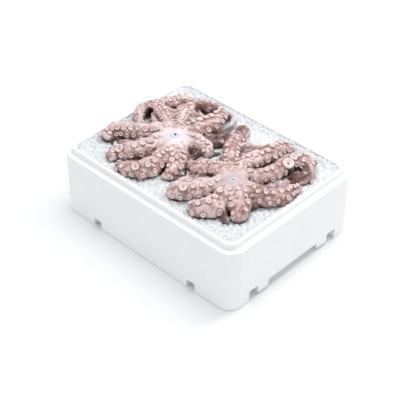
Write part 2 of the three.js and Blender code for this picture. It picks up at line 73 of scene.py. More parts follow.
class Flesh(Enum):
    """What an arm's skin is like."""

    ARM = "suckers on pale skin"
    WEB = "smooth lilac web"
    TIP = "thin pale tip"
    # dark flesh between the arms: brown skin, partly painted shade of the gaps
    SIDE = "mottled brown side"


class Axis(Enum):
    """The axis of a lattice along which edges are looked at."""

    X = 0
    Y = 1
    Z = 2


# ---------------------------------------------------------------- small helpers


def smooth(low: float, high: float, value: np.ndarray | float) -> np.ndarray | float:
    """A soft step.

    Args:
        low: Where it leaves 0.
        high: Where it reaches 1.
        value: One number or an array.

    Returns:
        The step at each value.
    """
    t = np.clip((value - low) / (high - low), 0.0, 1.0)
    return t * t * (3.0 - 2.0 * t)


def unit(vectors: np.ndarray) -> np.ndarray:
    """Vectors of length 1 along the last axis."""
    return vectors / np.maximum(np.linalg.norm(vectors, axis=-1, keepdims=True), 1e-9)


def soft_min(a: np.ndarray, b: np.ndarray, blend: np.ndarray | float) -> np.ndarray:
    """Joins two distance fields with a fillet.

    Args:
        a: One field.
        b: The other.
        blend: Width of the fillet in millimetres.

    Returns:
        The joined field.
    """
    h = np.clip(0.5 + 0.5 * (b - a) / blend, 0.0, 1.0)
    return b + (a - b) * h - blend * h * (1.0 - h)


def blurred(values: np.ndarray, reach: float) -> np.ndarray:
    """An array with a Gaussian blur along each of its axes.

    Args:
        values: The array.
        reach: Standard deviation in cells.

    Returns:
        An array of the same shape.
    """
    taps = max(1, int(math.ceil(2.5 * reach)))
    kernel = np.exp(-0.5 * (np.arange(-taps, taps + 1) / reach) ** 2)
    kernel /= kernel.sum()
    for axis in range(values.ndim):
        lines = np.moveaxis(values, axis, 0)
        padded = np.pad(lines, [(taps, taps)] + [(0, 0)] * (values.ndim - 1), mode="edge")
        values = np.moveaxis(sum(w * padded[i:i + len(lines)] for i, w in enumerate(kernel)), 0, axis)
    return values


def ring_faces(count: int, rows: int, start: int = 0, flip: bool = False) -> list[list[int]]:
    """Faces between closed rings of points that follow each other.

    Args:
        count: Points in each ring.
        rows: Number of rings.
        start: Number of the first point.
        flip: Whether the faces look the other way.

    Returns:
        Four corner numbers for each face.
    """
    faces = []
    for row in range(rows - 1):
        low = start + row * count
        for i in range(count):
            after = (i + 1) % count
            faces.append([low + i, low + after, low + count + after, low + count + i])
    return [face[::-1] for face in faces] if flip else faces


def mesh_piece(
    name: str, points: np.ndarray, faces: list | np.ndarray, round_shading: bool = True,
) -> bpy.types.Object:
    """An object from points in millimetres.

    Args:
        name: Name of the object and its mesh.
        points: Corners, one row each.
        faces: Corner numbers of each face.
        round_shading: Whether the faces shade as one smooth surface.

    Returns:
        The object, linked to the scene.
    """
    mesh = bpy.data.meshes.new(name)
    mesh.from_pydata((np.asarray(points) * MM).tolist(), [], [list(map(int, f)) for f in faces])
    mesh.polygons.foreach_set("use_smooth", [round_shading] * len(mesh.polygons))
    mesh.update()
    piece = bpy.data.objects.new(name, mesh)
    bpy.context.scene.collection.objects.link(piece)
    return piece


def set_mask(piece: bpy.types.Object, name: str, values: np.ndarray) -> None:
    """Stores one number per vertex.

    Args:
        piece: A mesh object.
        name: Name of the mask, which its material reads.
        values: One number per vertex.
    """
    layer = piece.data.attributes.new(name, "FLOAT", "POINT")
    layer.data.foreach_set("value", np.asarray(values, dtype=np.float32))


def dress(piece: bpy.types.Object, material: bpy.types.Material) -> None:
    """Gives a piece its finish and its place in the frame.

    Args:
        piece: The piece.
        material: Its finish.
    """
    piece.data.materials.clear()
    piece.data.materials.append(material)
    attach(piece, BODY)
    log.info("%s: %d vertices, %d faces", piece.name, len(piece.data.vertices), len(piece.data.polygons))


# ---------------------------------------------------------------- node trees


class Tree:
    """Fills a node tree from left to right."""

    def __init__(self, tree: bpy.types.NodeTree) -> None:
        """Starts on a tree.

        Args:
            tree: A material's or a group's tree.
        """
        self.tree = tree

    def add(self, kind: str, inputs: dict | None = None, **settings: object) -> bpy.types.Node:
        """Adds a node.

        Args:
            kind: Its type, without the leading ShaderNode.
            inputs: Values or source sockets by socket name or number.
            settings: Properties of the node.

        Returns:
            The node.
        """
        node = self.tree.nodes.new("ShaderNode" + kind if not kind.startswith("Node") else kind)
        node.location = (220 * len(self.tree.nodes), 0)
        for key, value in settings.items():
            setattr(node, key, value)
        for key, value in (inputs or {}).items():
            socket = node.inputs[key]
            if isinstance(value, bpy.types.NodeSocket):
                self.tree.links.new(value, socket)
            else:
                socket.default_value = value
        return node

    def math(self, operation: str, *values: object) -> bpy.types.NodeSocket:
        """A sum, product or other operation on numbers.

        Args:
            operation: Its name.
            values: Numbers or source sockets.

        Returns:
            The result's socket.
        """
        return self.add("Math", dict(enumerate(values)), operation=operation).outputs[0]

    def scaled(self, value: bpy.types.NodeSocket, factor: object) -> bpy.types.NodeSocket:
        """A mask times a number or another mask."""
        return self.math("MULTIPLY", value, factor)

    def spread(self, value: bpy.types.NodeSocket, low: float, high: float) -> bpy.types.NodeSocket:
        """Stretches a mask so that low becomes 0 and high becomes 1, with soft ends.

        Args:
            value: The mask.
            low: Its lower edge.
            high: Its upper edge.

        Returns:
            The stretched mask.
        """
        node = self.add("MapRange", {0: value, 1: low, 2: high}, interpolation_type="SMOOTHSTEP")
        return node.outputs[0]

    def mix(self, amount: object, a: object, b: object) -> bpy.types.NodeSocket:
        """Mixes two colours.

        Args:
            amount: 0 gives the first and 1 the second.
            a: A colour or its socket.
            b: The other one.

        Returns:
            The mixed colour.
        """
        node = self.add("Mix", data_type="RGBA")
        for key, value in ((0, amount), (6, a), (7, b)):
            if isinstance(value, bpy.types.NodeSocket):
                self.tree.links.new(value, node.inputs[key])
            elif key:
                node.inputs[key].default_value = (*value, 1.0)
            else:
                node.inputs[key].default_value = value
        return node.outputs[2]

    def mask(self, name: str) -> bpy.types.NodeSocket:
        """A mesh's own mask by its name."""
        return self.add("Attribute", attribute_name=name).outputs["Fac"]


def node_group(
    name: str, inputs: dict[str, float], outputs: tuple[str, ...],
) -> tuple[bpy.types.NodeTree, Tree]:
    """An empty shader node group.

    Args:
        name: Its name.
        inputs: Its number inputs and their usual values.
        outputs: Its number outputs.

    Returns:
        The group and a filler for it.
    """
    group = bpy.data.node_groups.new(name, "ShaderNodeTree")
    for label, value in inputs.items():
        socket = group.interface.new_socket(label, in_out="INPUT", socket_type="NodeSocketFloat")
        socket.default_value = value
    for label in outputs:
        group.interface.new_socket(label, in_out="OUTPUT", socket_type="NodeSocketFloat")
    return group, Tree(group)


def cloud_group() -> bpy.types.NodeTree:
    """Soft patches: a mask from two sizes of noise.

    Returns:
        The group, with the output Mask.
    """
    usual = {"Scale": 60.0, "Fine Scale": 400.0, "Fine Share": 0.35}
    group, tree = node_group("soft_patches", usual, ("Mask",))
    given = tree.add("NodeGroupInput").outputs
    place = tree.add("TexCoord").outputs["Object"]
    broad = tree.add("TexNoise", {"Vector": place, "Scale": given["Scale"], "Detail": 3.0}).outputs[0]
    fine = tree.add("TexNoise", {"Vector": place, "Scale": given["Fine Scale"], "Detail": 2.0}).outputs[0]
    mixed = tree.add("Mix", {0: given["Fine Share"], 2: broad, 3: fine}).outputs[0]
    tree.add("NodeGroupOutput", {"Mask": tree.spread(mixed, 0.34, 0.66)})
    return group


def speckle_group() -> bpy.types.NodeTree:
    """Small round spots of uneven size.

    Returns:
        The group, with the output Mask.
    """
    group, tree = node_group("speckles", {"Scale": 500.0, "Size": 0.42}, ("Mask",))
    given = tree.add("NodeGroupInput").outputs
    place = tree.add("TexCoord").outputs["Object"]
    cells = tree.add("TexVoronoi", {"Vector": place, "Scale": given["Scale"], "Randomness": 1.0})
    tint = tree.add("TexNoise", {"Vector": place, "Scale": 140.0, "Detail": 2.0}).outputs[0]
    size = tree.scaled(given["Size"], tree.math("ADD", tint, 0.5))
    edge = tree.math("SUBTRACT", size, cells.outputs["Distance"])
    tree.add("NodeGroupOutput", {"Mask": tree.spread(edge, -0.05, 0.14)})
    return group


def wrinkle_group() -> bpy.types.NodeTree:
    """Relief of wet skin: fine pores over shallow folds.

    Returns:
        The group, with the output Height from 0 to 1.
    """
    usual = {"Pores": 900.0, "Folds": 240.0, "Fold Share": 0.6}
    group, tree = node_group("skin_relief", usual, ("Height",))
    given = tree.add("NodeGroupInput").outputs
    place = tree.add("TexCoord").outputs["Object"]
    pores = tree.add("TexVoronoi", {"Vector": place, "Scale": given["Pores"]}, feature="SMOOTH_F1")
    folds = tree.add("TexNoise", {
        "Vector": place, "Scale": given["Folds"], "Detail": 4.0, "Roughness": 0.6, "Distortion": 0.6,
    }).outputs[0]
    mixed = tree.add("Mix", {0: given["Fold Share"], 2: pores.outputs["Distance"], 3: folds}).outputs[0]
    tree.add("NodeGroupOutput", {"Height": mixed})
    return group


def bead_group() -> bpy.types.NodeTree:
    """Expanded beads pressed together: domes with fine seams between them.

    Returns:
        The group, with the outputs Height and Seam.
    """
    group, tree = node_group("foam_beads", {"Scale": 260.0, "Seam Width": 0.09}, ("Height", "Seam"))
    given = tree.add("NodeGroupInput").outputs
    place = tree.add("TexCoord").outputs["Object"]
    cells = {"Vector": place, "Scale": given["Scale"]}
    dome = tree.add("TexVoronoi", cells, feature="SMOOTH_F1").outputs["Distance"]
    gap = tree.add("TexVoronoi", cells, feature="DISTANCE_TO_EDGE")
    seam = tree.math("SUBTRACT", 1.0, tree.math("DIVIDE", gap.outputs["Distance"], given["Seam Width"]))
    held = tree.math("MAXIMUM", seam, 0.0)
    height = tree.math("SUBTRACT", 1.0, tree.math("ADD", tree.scaled(dome, 0.5), held))
    tree.add("NodeGroupOutput", {"Height": height, "Seam": held})
    return group


@dataclass(frozen=True)
class Effects:
    """The shared node groups, and their use in a material with the material's own values."""

    patches: bpy.types.NodeTree
    speckles: bpy.types.NodeTree
    skin_relief: bpy.types.NodeTree
    beads: bpy.types.NodeTree

    @staticmethod
    def built() -> "Effects":
        """All the groups, each made once."""
        return Effects(cloud_group(), speckle_group(), wrinkle_group(), bead_group())

    def patched(
        self, tree: Tree, scale: float, fine_scale: float, fine_share: float,
    ) -> bpy.types.NodeSocket:
        """Soft patches in a material.

        Args:
            tree: The material's filler.
            scale: Scale of the broad patches.
            fine_scale: Scale of the fine ones.
            fine_share: Share of the fine ones.

        Returns:
            Their mask.
        """
        values = {"Scale": scale, "Fine Scale": fine_scale, "Fine Share": fine_share}
        return tree.add("Group", values, node_tree=self.patches).outputs["Mask"]

    def wrinkled(self, tree: Tree, pores: float, folds: float, fold_share: float) -> bpy.types.NodeSocket:
        """The relief of wet skin in a material.

        Args:
            tree: The material's filler.
            pores: Scale of the pores.
            folds: Scale of the folds.
            fold_share: Share of the folds.

        Returns:
            Its height.
        """
        values = {"Pores": pores, "Folds": folds, "Fold Share": fold_share}
        return tree.add("Group", values, node_tree=self.skin_relief).outputs["Height"]


def new_material(name: str) -> tuple[bpy.types.Material, Tree, bpy.types.Node]:
    """A node material with one Principled shader.

    Args:
        name: Its name.

    Returns:
        The material, a filler for its tree and the shader node.
    """
    material = bpy.data.materials.new(name)
    material.use_nodes = True
    tree = Tree(material.node_tree)
    return material, tree, material.node_tree.nodes["Principled BSDF"]


def set_shader(tree: Tree, shader: bpy.types.Node, values: dict[str, object]) -> None:
    """Gives a shader its values and source sockets.

    Args:
        tree: The filler of its material.
        shader: The Principled shader.
        values: Numbers, colours or source sockets by socket name.
    """
    for name, value in values.items():
        if isinstance(value, bpy.types.NodeSocket):
            tree.tree.links.new(value, shader.inputs[name])
        else:
            shader.inputs[name].default_value = (*value, 1.0) if name.endswith("Color") else value


def relief_normal(
    tree: Tree, height: bpy.types.NodeSocket, strength: float, depth: float,
) -> bpy.types.NodeSocket:
    """A normal that follows a relief.

    Args:
        tree: The material's filler.
        height: The relief's height.
        strength: How much of it shows.
        depth: Its depth in metres.

    Returns:
        The normal's socket.
    """
    return tree.add("Bump", {"Height": height, "Strength": strength, "Distance": depth}).outputs[0]


# ---------------------------------------------------------------- finishes


@dataclass(frozen=True)
class FoamFinish:
    """White expanded polystyrene."""

    body: Colour = (0.94, 0.958, 0.958)
    seam: Colour = (0.80, 0.83, 0.835)
    roughness: float = 0.62
    bead_scale: float = 250.0
    depth: float = 0.0003

    def material(self, effects: Effects) -> bpy.types.Material:
        """The finish as a material.

        Args:
            effects: The shared node groups.

        Returns:
            The material.
        """
        material, tree, shader = new_material("foam")
        sizes = {"Scale": self.bead_scale, "Seam Width": 0.1}
        beads = tree.add("Group", sizes, node_tree=effects.beads).outputs
        cloud = effects.patched(tree, 25.0, 260.0, 0.4)
        tint = tree.math("ADD", tree.scaled(beads["Seam"], 0.35), tree.scaled(cloud, 0.12))
        set_shader(tree, shader, {
            "Base Color": tree.mix(tint, self.body, self.seam),
            "Normal": relief_normal(tree, beads["Height"], 0.5, self.depth),
            "Roughness": self.roughness,
            "Subsurface Weight": 0.15, "Subsurface Radius": (0.004, 0.004, 0.004),
        })
        return material


@dataclass(frozen=True)
class IceFinish:
    """Wet crushed ice."""

    body: Colour = (0.81, 0.83, 0.85)
    shade: Colour = (0.765, 0.785, 0.81)
    roughness: float = 0.55

    def material(self, effects: Effects, name: str) -> bpy.types.Material:
        """The finish as a material.

        Args:
            effects: The shared node groups.
            name: Name of the material.

        Returns:
            The material.
        """
        material, tree, shader = new_material(name)
        cloud = effects.patched(tree, 90.0, 700.0, 0.5)
        relief = effects.wrinkled(tree, 900.0, 500.0, 0.5)
        set_shader(tree, shader, {
            "Base Color": tree.mix(cloud, self.body, self.shade),
            "Normal": relief_normal(tree, relief, 0.08, 0.0004),
            "Roughness": self.roughness, "IOR": 1.31,
            "Subsurface Weight": 0.9, "Subsurface Radius": (0.011, 0.012, 0.013),
            "Coat Weight": 0.05, "Coat Roughness": 0.15,
        })
        return material


@dataclass(frozen=True)
class SkinFinish:
    """Wet octopus skin: pale between the suckers, lilac on the webs and mottled brown on the back, with
    painted shade in its creases, hollows and dents and painted light on its ridges.
    """

    crown: Colour = (0.87, 0.79, 0.81)
    oral: Colour = (0.835, 0.66, 0.65)
    # pale skin colour, also used as painted light on convex places
    pale_and_ridge_light: Colour = (0.87, 0.73, 0.72)
    # mottled blush of the skin, also used as painted shade in the relief's creases
    blush_and_crease_shade: Colour = (0.44, 0.25, 0.23)
    ruddy: Colour = (0.40, 0.19, 0.155)
    # painted shade for the skin's concave places
    hollow_shade: Colour = (0.30, 0.13, 0.11)
    # darker skin at the suckers' feet, partly painted contact shade
    ring: Colour = (0.31, 0.14, 0.12)
    bare: Colour = (0.66, 0.60, 0.61)
    web: Colour = (0.62, 0.51, 0.555)
    # dark colours of the dorsal skin, also used as painted shade near the ice and between the arms
    back: Colour = (0.12, 0.045, 0.038)
    back_pale: Colour = (0.33, 0.18, 0.16)
    # painted shade for the dents
    pit: Colour = (0.085, 0.028, 0.021)
    # near-black painted shade for creases, near the ice and on the dark folds
    crevice_shade: Colour = (0.028, 0.008, 0.008)
    roughness: float = 0.32
    relief: float = 0.0014

    def material(self, effects: Effects) -> bpy.types.Material:
        """The finish as a material.

        Args:
            effects: The shared node groups.

        Returns:
            The material.
        """
        material, tree, shader = new_material("octopus_skin")
        mask = effects.patched(tree, 70.0, 420.0, 0.4)
        sizes = {"Scale": 520.0, "Size": 0.40}
        spots = tree.add("Group", sizes, node_tree=effects.speckles).outputs["Mask"]
        relief = effects.wrinkled(tree, 800.0, 260.0, 0.65)
        # low parts of the skin relief, where painted shade goes
        fold = tree.spread(relief, 0.52, 0.30)
        mottled = tree.scaled(mask, tree.math("ADD", tree.scaled(tree.mask("far"), 0.7), 0.25))
        reddened = tree.scaled(tree.mask("ruddy"), tree.math("ADD", mask, 0.32))
        pale = tree.mix(mottled, self.oral, self.blush_and_crease_shade)
        pale = tree.mix(tree.mask("crown"), pale, self.crown)
        pale = tree.mix(tree.scaled(tree.mask("web"), 0.8), pale, self.web)
        # painted shade where the skin relief is low
        pale = tree.mix(tree.scaled(fold, 0.45), pale, self.blush_and_crease_shade)
        pale = tree.mix(reddened, pale, self.ruddy)
        # painted light where the skin is convex
        pale = tree.mix(tree.scaled(tree.mask("pale_and_ridge_light"), 0.55), pale, self.pale_and_ridge_light)
        # darker skin at the suckers' feet, partly painted contact shade
        pale = tree.mix(tree.scaled(tree.mask("ring"), 0.85), pale, self.ring)
        # painted shade where the skin is concave
        pale = tree.mix(tree.scaled(tree.mask("hollow_shade"), 0.65), pale, self.hollow_shade)
        dark = tree.mix(mask, self.back, self.back_pale)
        dark = tree.mix(tree.scaled(spots, 0.55), dark, self.back)
        broken_edge = tree.scaled(tree.math("SUBTRACT", mask, 0.5), 0.5)
        turned = tree.math("ADD", tree.mask("back"), broken_edge)
        # dorsal colour on the back, with painted shade near the ice and between the arms
        skin = tree.mix(tree.spread(turned, 0.12, 0.85), pale, dark)
        thin = tree.mix(tree.mask("ruddy"), self.bare, self.pale_and_ridge_light)
        skin = tree.mix(tree.mask("bare"), skin, thin)
        # painted shade at the dents
        skin = tree.mix(tree.mask("pit"), skin, self.pit)
        # painted shade in creases and near the ice
        skin = tree.mix(tree.mask("crevice_shade"), skin, self.crevice_shade)
        set_shader(tree, shader, {
            "Base Color": skin,
            "Normal": relief_normal(tree, relief, 0.5, self.relief),
            "Roughness": self.roughness, "IOR": 1.4,
            "Subsurface Weight": 0.25, "Subsurface Radius": (0.0030, 0.0014, 0.0010),
            "Coat Weight": 0.55, "Coat Roughness": 0.09,
        })
        return material


@dataclass(frozen=True)
class SuckerFinish:
    """A sucker: pale rim, a darker ring inside it, a small hole painted near-black as shade and a stalk in
    painted shade under the rim.
    """

    rim: Colour = (0.855, 0.73, 0.70)
    dish: Colour = (0.80, 0.655, 0.63)
    ring: Colour = (0.62, 0.42, 0.38)
    # near-black painted shade in the hole
    hole: Colour = (0.12, 0.045, 0.04)
    # painted shade on the stalk under the rim
    stalk: Colour = (0.36, 0.18, 0.16)
    roughness: float = 0.28

    def material(self, effects: Effects) -> bpy.types.Material:
        """The finish as a material.

        Args:
            effects: The shared node groups.

        Returns:
            The material.
        """
        material, tree, shader = new_material("suckers")
        ramp = tree.add("ValToRGB", {0: tree.mask("across")})
        stops = (
            (0.0, self.hole), (0.10, self.hole), (0.17, self.dish), (0.30, self.dish), (0.37, self.ring),
            (0.43, self.rim), (0.58, self.rim), (0.66, self.dish), (0.80, self.stalk), (1.0, self.stalk),
        )
        elements = ramp.color_ramp.elements
        while len(elements) < len(stops):
            elements.new(0.5)
        for element, (place, colour) in zip(elements, stops):
            element.position = place
            element.color = (*colour, 1.0)
        patches = effects.patched(tree, 110.0, 600.0, 0.4)
        relief = effects.wrinkled(tree, 1500.0, 500.0, 0.6)
        aged = tree.scaled(tree.math("ADD", patches, tree.mask("tint")), 0.22)
        disc = tree.spread(tree.mask("across"), 0.66, 0.55)
        plain = tree.scaled(tree.scaled(tree.mask("faint"), disc), 0.8)
        colour = tree.mix(plain, ramp.outputs[0], self.rim)
        set_shader(tree, shader, {
            "Base Color": tree.mix(aged, colour, self.ring),
            "Normal": relief_normal(tree, relief, 0.4, 0.0004),
            "Roughness": self.roughness, "IOR": 1.4,
            "Subsurface Weight": 0.2, "Subsurface Radius": (0.0024, 0.0013, 0.0010),
            "Coat Weight": 0.5, "Coat Roughness": 0.1,
        })
        return material


@dataclass(frozen=True)
class LipFinish:
    """The bluish white flesh round the beak."""

    flesh: Colour = (0.80, 0.84, 0.88)
    fold: Colour = (0.55, 0.58, 0.66)
    roughness: float = 0.3

    def material(self, effects: Effects) -> bpy.types.Material:
        """The finish as a material.

        Args:
            effects: The shared node groups.

        Returns:
            The material.
        """
        material, tree, shader = new_material("mouth_lips")
        patches = effects.patched(tree, 300.0, 900.0, 0.5)
        relief = effects.wrinkled(tree, 1500.0, 700.0, 0.6)
        set_shader(tree, shader, {
            "Base Color": tree.mix(patches, self.flesh, self.fold),
            "Normal": relief_normal(tree, relief, 0.4, 0.0003),
            "Roughness": self.roughness, "IOR": 1.4,
            "Subsurface Weight": 0.3, "Subsurface Radius": (0.002, 0.002, 0.002),
            "Coat Weight": 0.5, "Coat Roughness": 0.1,
        })
        return material


@dataclass(frozen=True)
class BeakFinish:
    """Dark horny beak."""

    tip: Colour = (0.012, 0.010, 0.012)
    root: Colour = (0.07, 0.035, 0.025)
    roughness: float = 0.2

    def material(self, effects: Effects) -> bpy.types.Material:
        """The finish as a material.

        Args:
            effects: The shared node groups.

        Returns:
            The material.
        """
        material, tree, shader = new_material("beak")
        patches = effects.patched(tree, 400.0, 1200.0, 0.5)
        set_shader(tree, shader, {
            "Base Color": tree.mix(patches, self.tip, self.root),
            "Roughness": self.roughness, "Coat Weight": 0.6, "Coat Roughness": 0.08,
        })
        return material


@dataclass(frozen=True)
class FloorFinish:
    """A plain pale studio floor."""

    colour: Colour = (0.93, 0.93, 0.93)
    roughness: float = 0.9

    def material(self) -> bpy.types.Material:
        """The finish as a material.

        Returns:
            The material.
        """
        material, tree, shader = new_material("studio_floor")
        set_shader(tree, shader, {
            "Base Color": self.colour, "Roughness": self.roughness, "Specular IOR Level": 0.1,
        })
        return material


# ---------------------------------------------------------------- the foam box


def rounded_outline(
    corners: list[tuple[float, float, float]], steps: int = 5,
) -> list[tuple[float, float]]:
    """A polygon with rounded corners.

    Args:
        corners: (across, up, radius) of each corner in order.
        steps: Segments in each rounded corner.

    Returns:
        The outline's points.
    """
    outline = []
    for i, (x, y, radius) in enumerate(corners):
        here = np.array((x, y))
        before = unit(np.array(corners[i - 1][:2]) - here)
        after = unit(np.array(corners[(i + 1) % len(corners)][:2]) - here)
        if radius <= 0:
            outline.append((x, y))
            continue
        half = math.acos(float(np.clip(before @ after, -1, 1))) / 2
        reach = radius / math.tan(half)
        start, end = here + before * reach, here + after * reach
        middle = here + unit(before + after) * radius / math.sin(half)
        for step in range(steps + 1):
            arm = unit((start - middle) * (1 - step / steps) + (end - middle) * step / steps)
            outline.append(tuple(middle + arm * radius))
    return outline


@dataclass
class FoamBox:
    """The open box: soft-edged walls, a stepped lip, and notches round its foot."""

    length: float = 400.0
    width: float = 306.0
    wall_top: float = 119.3
    lip_top: float = 129.8
    corner_radius: float = 27.0
    lip_inset: float = 10.5
    wall: float = 17.2
    cavity_radius: float = 16.0
    floor: float = 30.0
    soft_edge: float = 2.5
    lip_edge: float = 3.0
    lip_slope: float = 0.5
    groove: float = 1.2
    bevel: float = 0.9
    corner_steps: int = 14
    foot_depth: float = 26.0
    long_notch: tuple[float, float, float] = (103.0, 121.0, 16.0)
    corner_post: float = 108.0
    short_notch_height: float = 22.0
    pad: tuple[float, float, float] = (62.0, 87.0, 6.0)
    arch_height: float = 18.0
    notch_round: float = 4.0
    pad_round: float = 1.5
    cut_outside: float = 3.0
    cut_below: float = 4.0
    finish: FoamFinish = field(default_factory=FoamFinish)

    def loop(self, inset: float, height: float, radius: float) -> np.ndarray:
        """A rounded rectangle.

        Args:
            inset: How far it is drawn in from the outer face.
            height: Its level.
            radius: Its corner radius.

        Returns:
            Its points, counterclockwise.
        """
        half = np.array((self.length / 2 - inset - radius, self.width / 2 - inset - radius))
        points = []
        for corner, (sx, sy) in enumerate(((1, 1), (-1, 1), (-1, -1), (1, -1))):
            angles = (corner + np.arange(self.corner_steps + 1) / self.corner_steps) * math.pi / 2
            ring = np.stack((np.cos(angles), np.sin(angles)), axis=1) * radius + half * (sx, sy)
            points.append(ring)
        plan = np.concatenate(points)
        return np.column_stack((plan, np.full(len(plan), height)))

    def section(self) -> list[tuple[float, float, float]]:
        """The wall's section from the underside up, over the lip and down inside.

        Returns:
            (inset, height, corner radius) of each loop.
        """
        soft, lip, edge, groove = self.soft_edge, self.lip_inset, self.lip_edge, self.groove
        outer, inner, top = self.corner_radius, self.cavity_radius, self.wall_top
        turn = [(math.sin(a), math.cos(a)) for a in np.linspace(0, math.pi / 2, 5)]
        section = [(soft * (1 - s), soft * (1 - c), outer - soft * (1 - s)) for s, c in turn]
        section += [(soft * (1 - c), top - soft * (1 - s), outer - soft * (1 - c)) for s, c in turn]
        section += [
            (lip - groove * (1 - s), top + groove * (1 - c), outer - lip + groove * (1 - s))
            for s, c in turn
        ]
        section += [
            (lip + edge * (1 - c), self.lip_top - edge * (1 - s),
             outer - lip - edge * (1 - c) * self.lip_slope)
            for s, c in turn
        ]
        section += [(self.wall - edge * (1 - s), self.lip_top - edge * (1 - c), inner) for s, c in turn]
        section.append((self.wall, self.floor, inner))
        return section

    def shell(self) -> bpy.types.Object:
        """The box before its foot is cut.

        Returns:
            One closed mesh.
        """
        loops = [self.loop(*ring) for ring in self.section()]
        count = len(loops[0])
        faces = ring_faces(count, len(loops))
        faces.append(list(range(count))[::-1])
        faces.append([(len(loops) - 1) * count + i for i in range(count)])
        return mesh_piece("foam_shell", np.concatenate(loops), faces)

    def cutter(self, outline: list[tuple[float, float]], place: Matrix) -> bpy.types.Object:
        """A prism that cuts one opening into the foot.

        Args:
            outline: Its section, across and up.
            place: Puts it at its side; it runs along its own Y from just outside the wall.

        Returns:
            The prism.
        """
        count = len(outline)
        near = [place @ Vector((x, -self.cut_outside, z)) for x, z in outline]
        far = [place @ Vector((x, self.foot_depth, z)) for x, z in outline]
        faces = ring_faces(count, 2) + [list(range(count))[::-1], list(range(count, 2 * count))]
        piece = mesh_piece("foot_cutter", np.array([tuple(p) for p in near + far]), faces)
        work = bmesh.new()
        work.from_mesh(piece.data)
        bmesh.ops.recalc_face_normals(work, faces=work.faces)
        work.to_mesh(piece.data)
        work.free()
        return piece

    def cutters(self) -> list[bpy.types.Object]:
        """Places the openings of the foot.

        Returns:
            An arch for each short side and two notches for each long side.
        """
        turn, pad_turn, below = self.notch_round, self.pad_round, -self.cut_below
        inner, outer, lift = self.pad
        half = [
            (self.corner_post, below, 0.0), (self.corner_post, self.short_notch_height, turn),
            (outer, self.short_notch_height, turn), (outer, lift, pad_turn), (inner, lift, pad_turn),
            (inner, self.arch_height, turn),
        ]
        arch = rounded_outline(half + [(-x, z, radius) for x, z, radius in half[::-1]])
        start, end, height = self.long_notch
        reach = (end - start) / 2
        notch = rounded_outline([
            (reach, below, 0.0), (reach, height, turn), (-reach, height, turn), (-reach, below, 0.0),
        ])
        made = []
        for side in (-1, 1):
            end_face = Matrix.Translation((side * self.length / 2, 0, 0))
            made.append(self.cutter(arch, end_face @ Matrix.Rotation(side * math.pi / 2, 4, "Z")))
            for end_side in (-1, 1):
                spot = Matrix.Translation((end_side * (start + end) / 2, side * self.width / 2, 0))
                turned = Matrix.Rotation(math.pi if side > 0 else 0.0, 4, "Z")
                made.append(self.cutter(notch, spot @ turned))
        return made

    def build(self, effects: Effects) -> bpy.types.Object:
        """Makes the box.

        Args:
            effects: The shared node groups.

        Returns:
            The dressed piece.
        """
        shell = self.shell()
        cutters = self.cutters()
        for cutter in cutters:
            cut = shell.modifiers.new("cut", "BOOLEAN")
            cut.operation, cut.solver, cut.object = "DIFFERENCE", "EXACT", cutter
        soften = shell.modifiers.new("soften", "BEVEL")
        soften.width, soften.segments, soften.limit_method = self.bevel * MM, 2, "ANGLE"
        soften.angle_limit = math.radians(50)
        flat = shell.modifiers.new("flat", "WEIGHTED_NORMAL")
        flat.keep_sharp = True
        bpy.context.view_layer.update()
        made = bpy.data.meshes.new_from_object(shell.evaluated_get(bpy.context.evaluated_depsgraph_get()))
        for piece in (shell, *cutters):
            bpy.data.objects.remove(piece)
        box = bpy.data.objects.new("box_of_foam", made)
        bpy.context.scene.collection.objects.link(box)
        dress(box, self.finish.material(effects))
        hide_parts("foam_box")
        return box


# ---------------------------------------------------------------- distance lattice


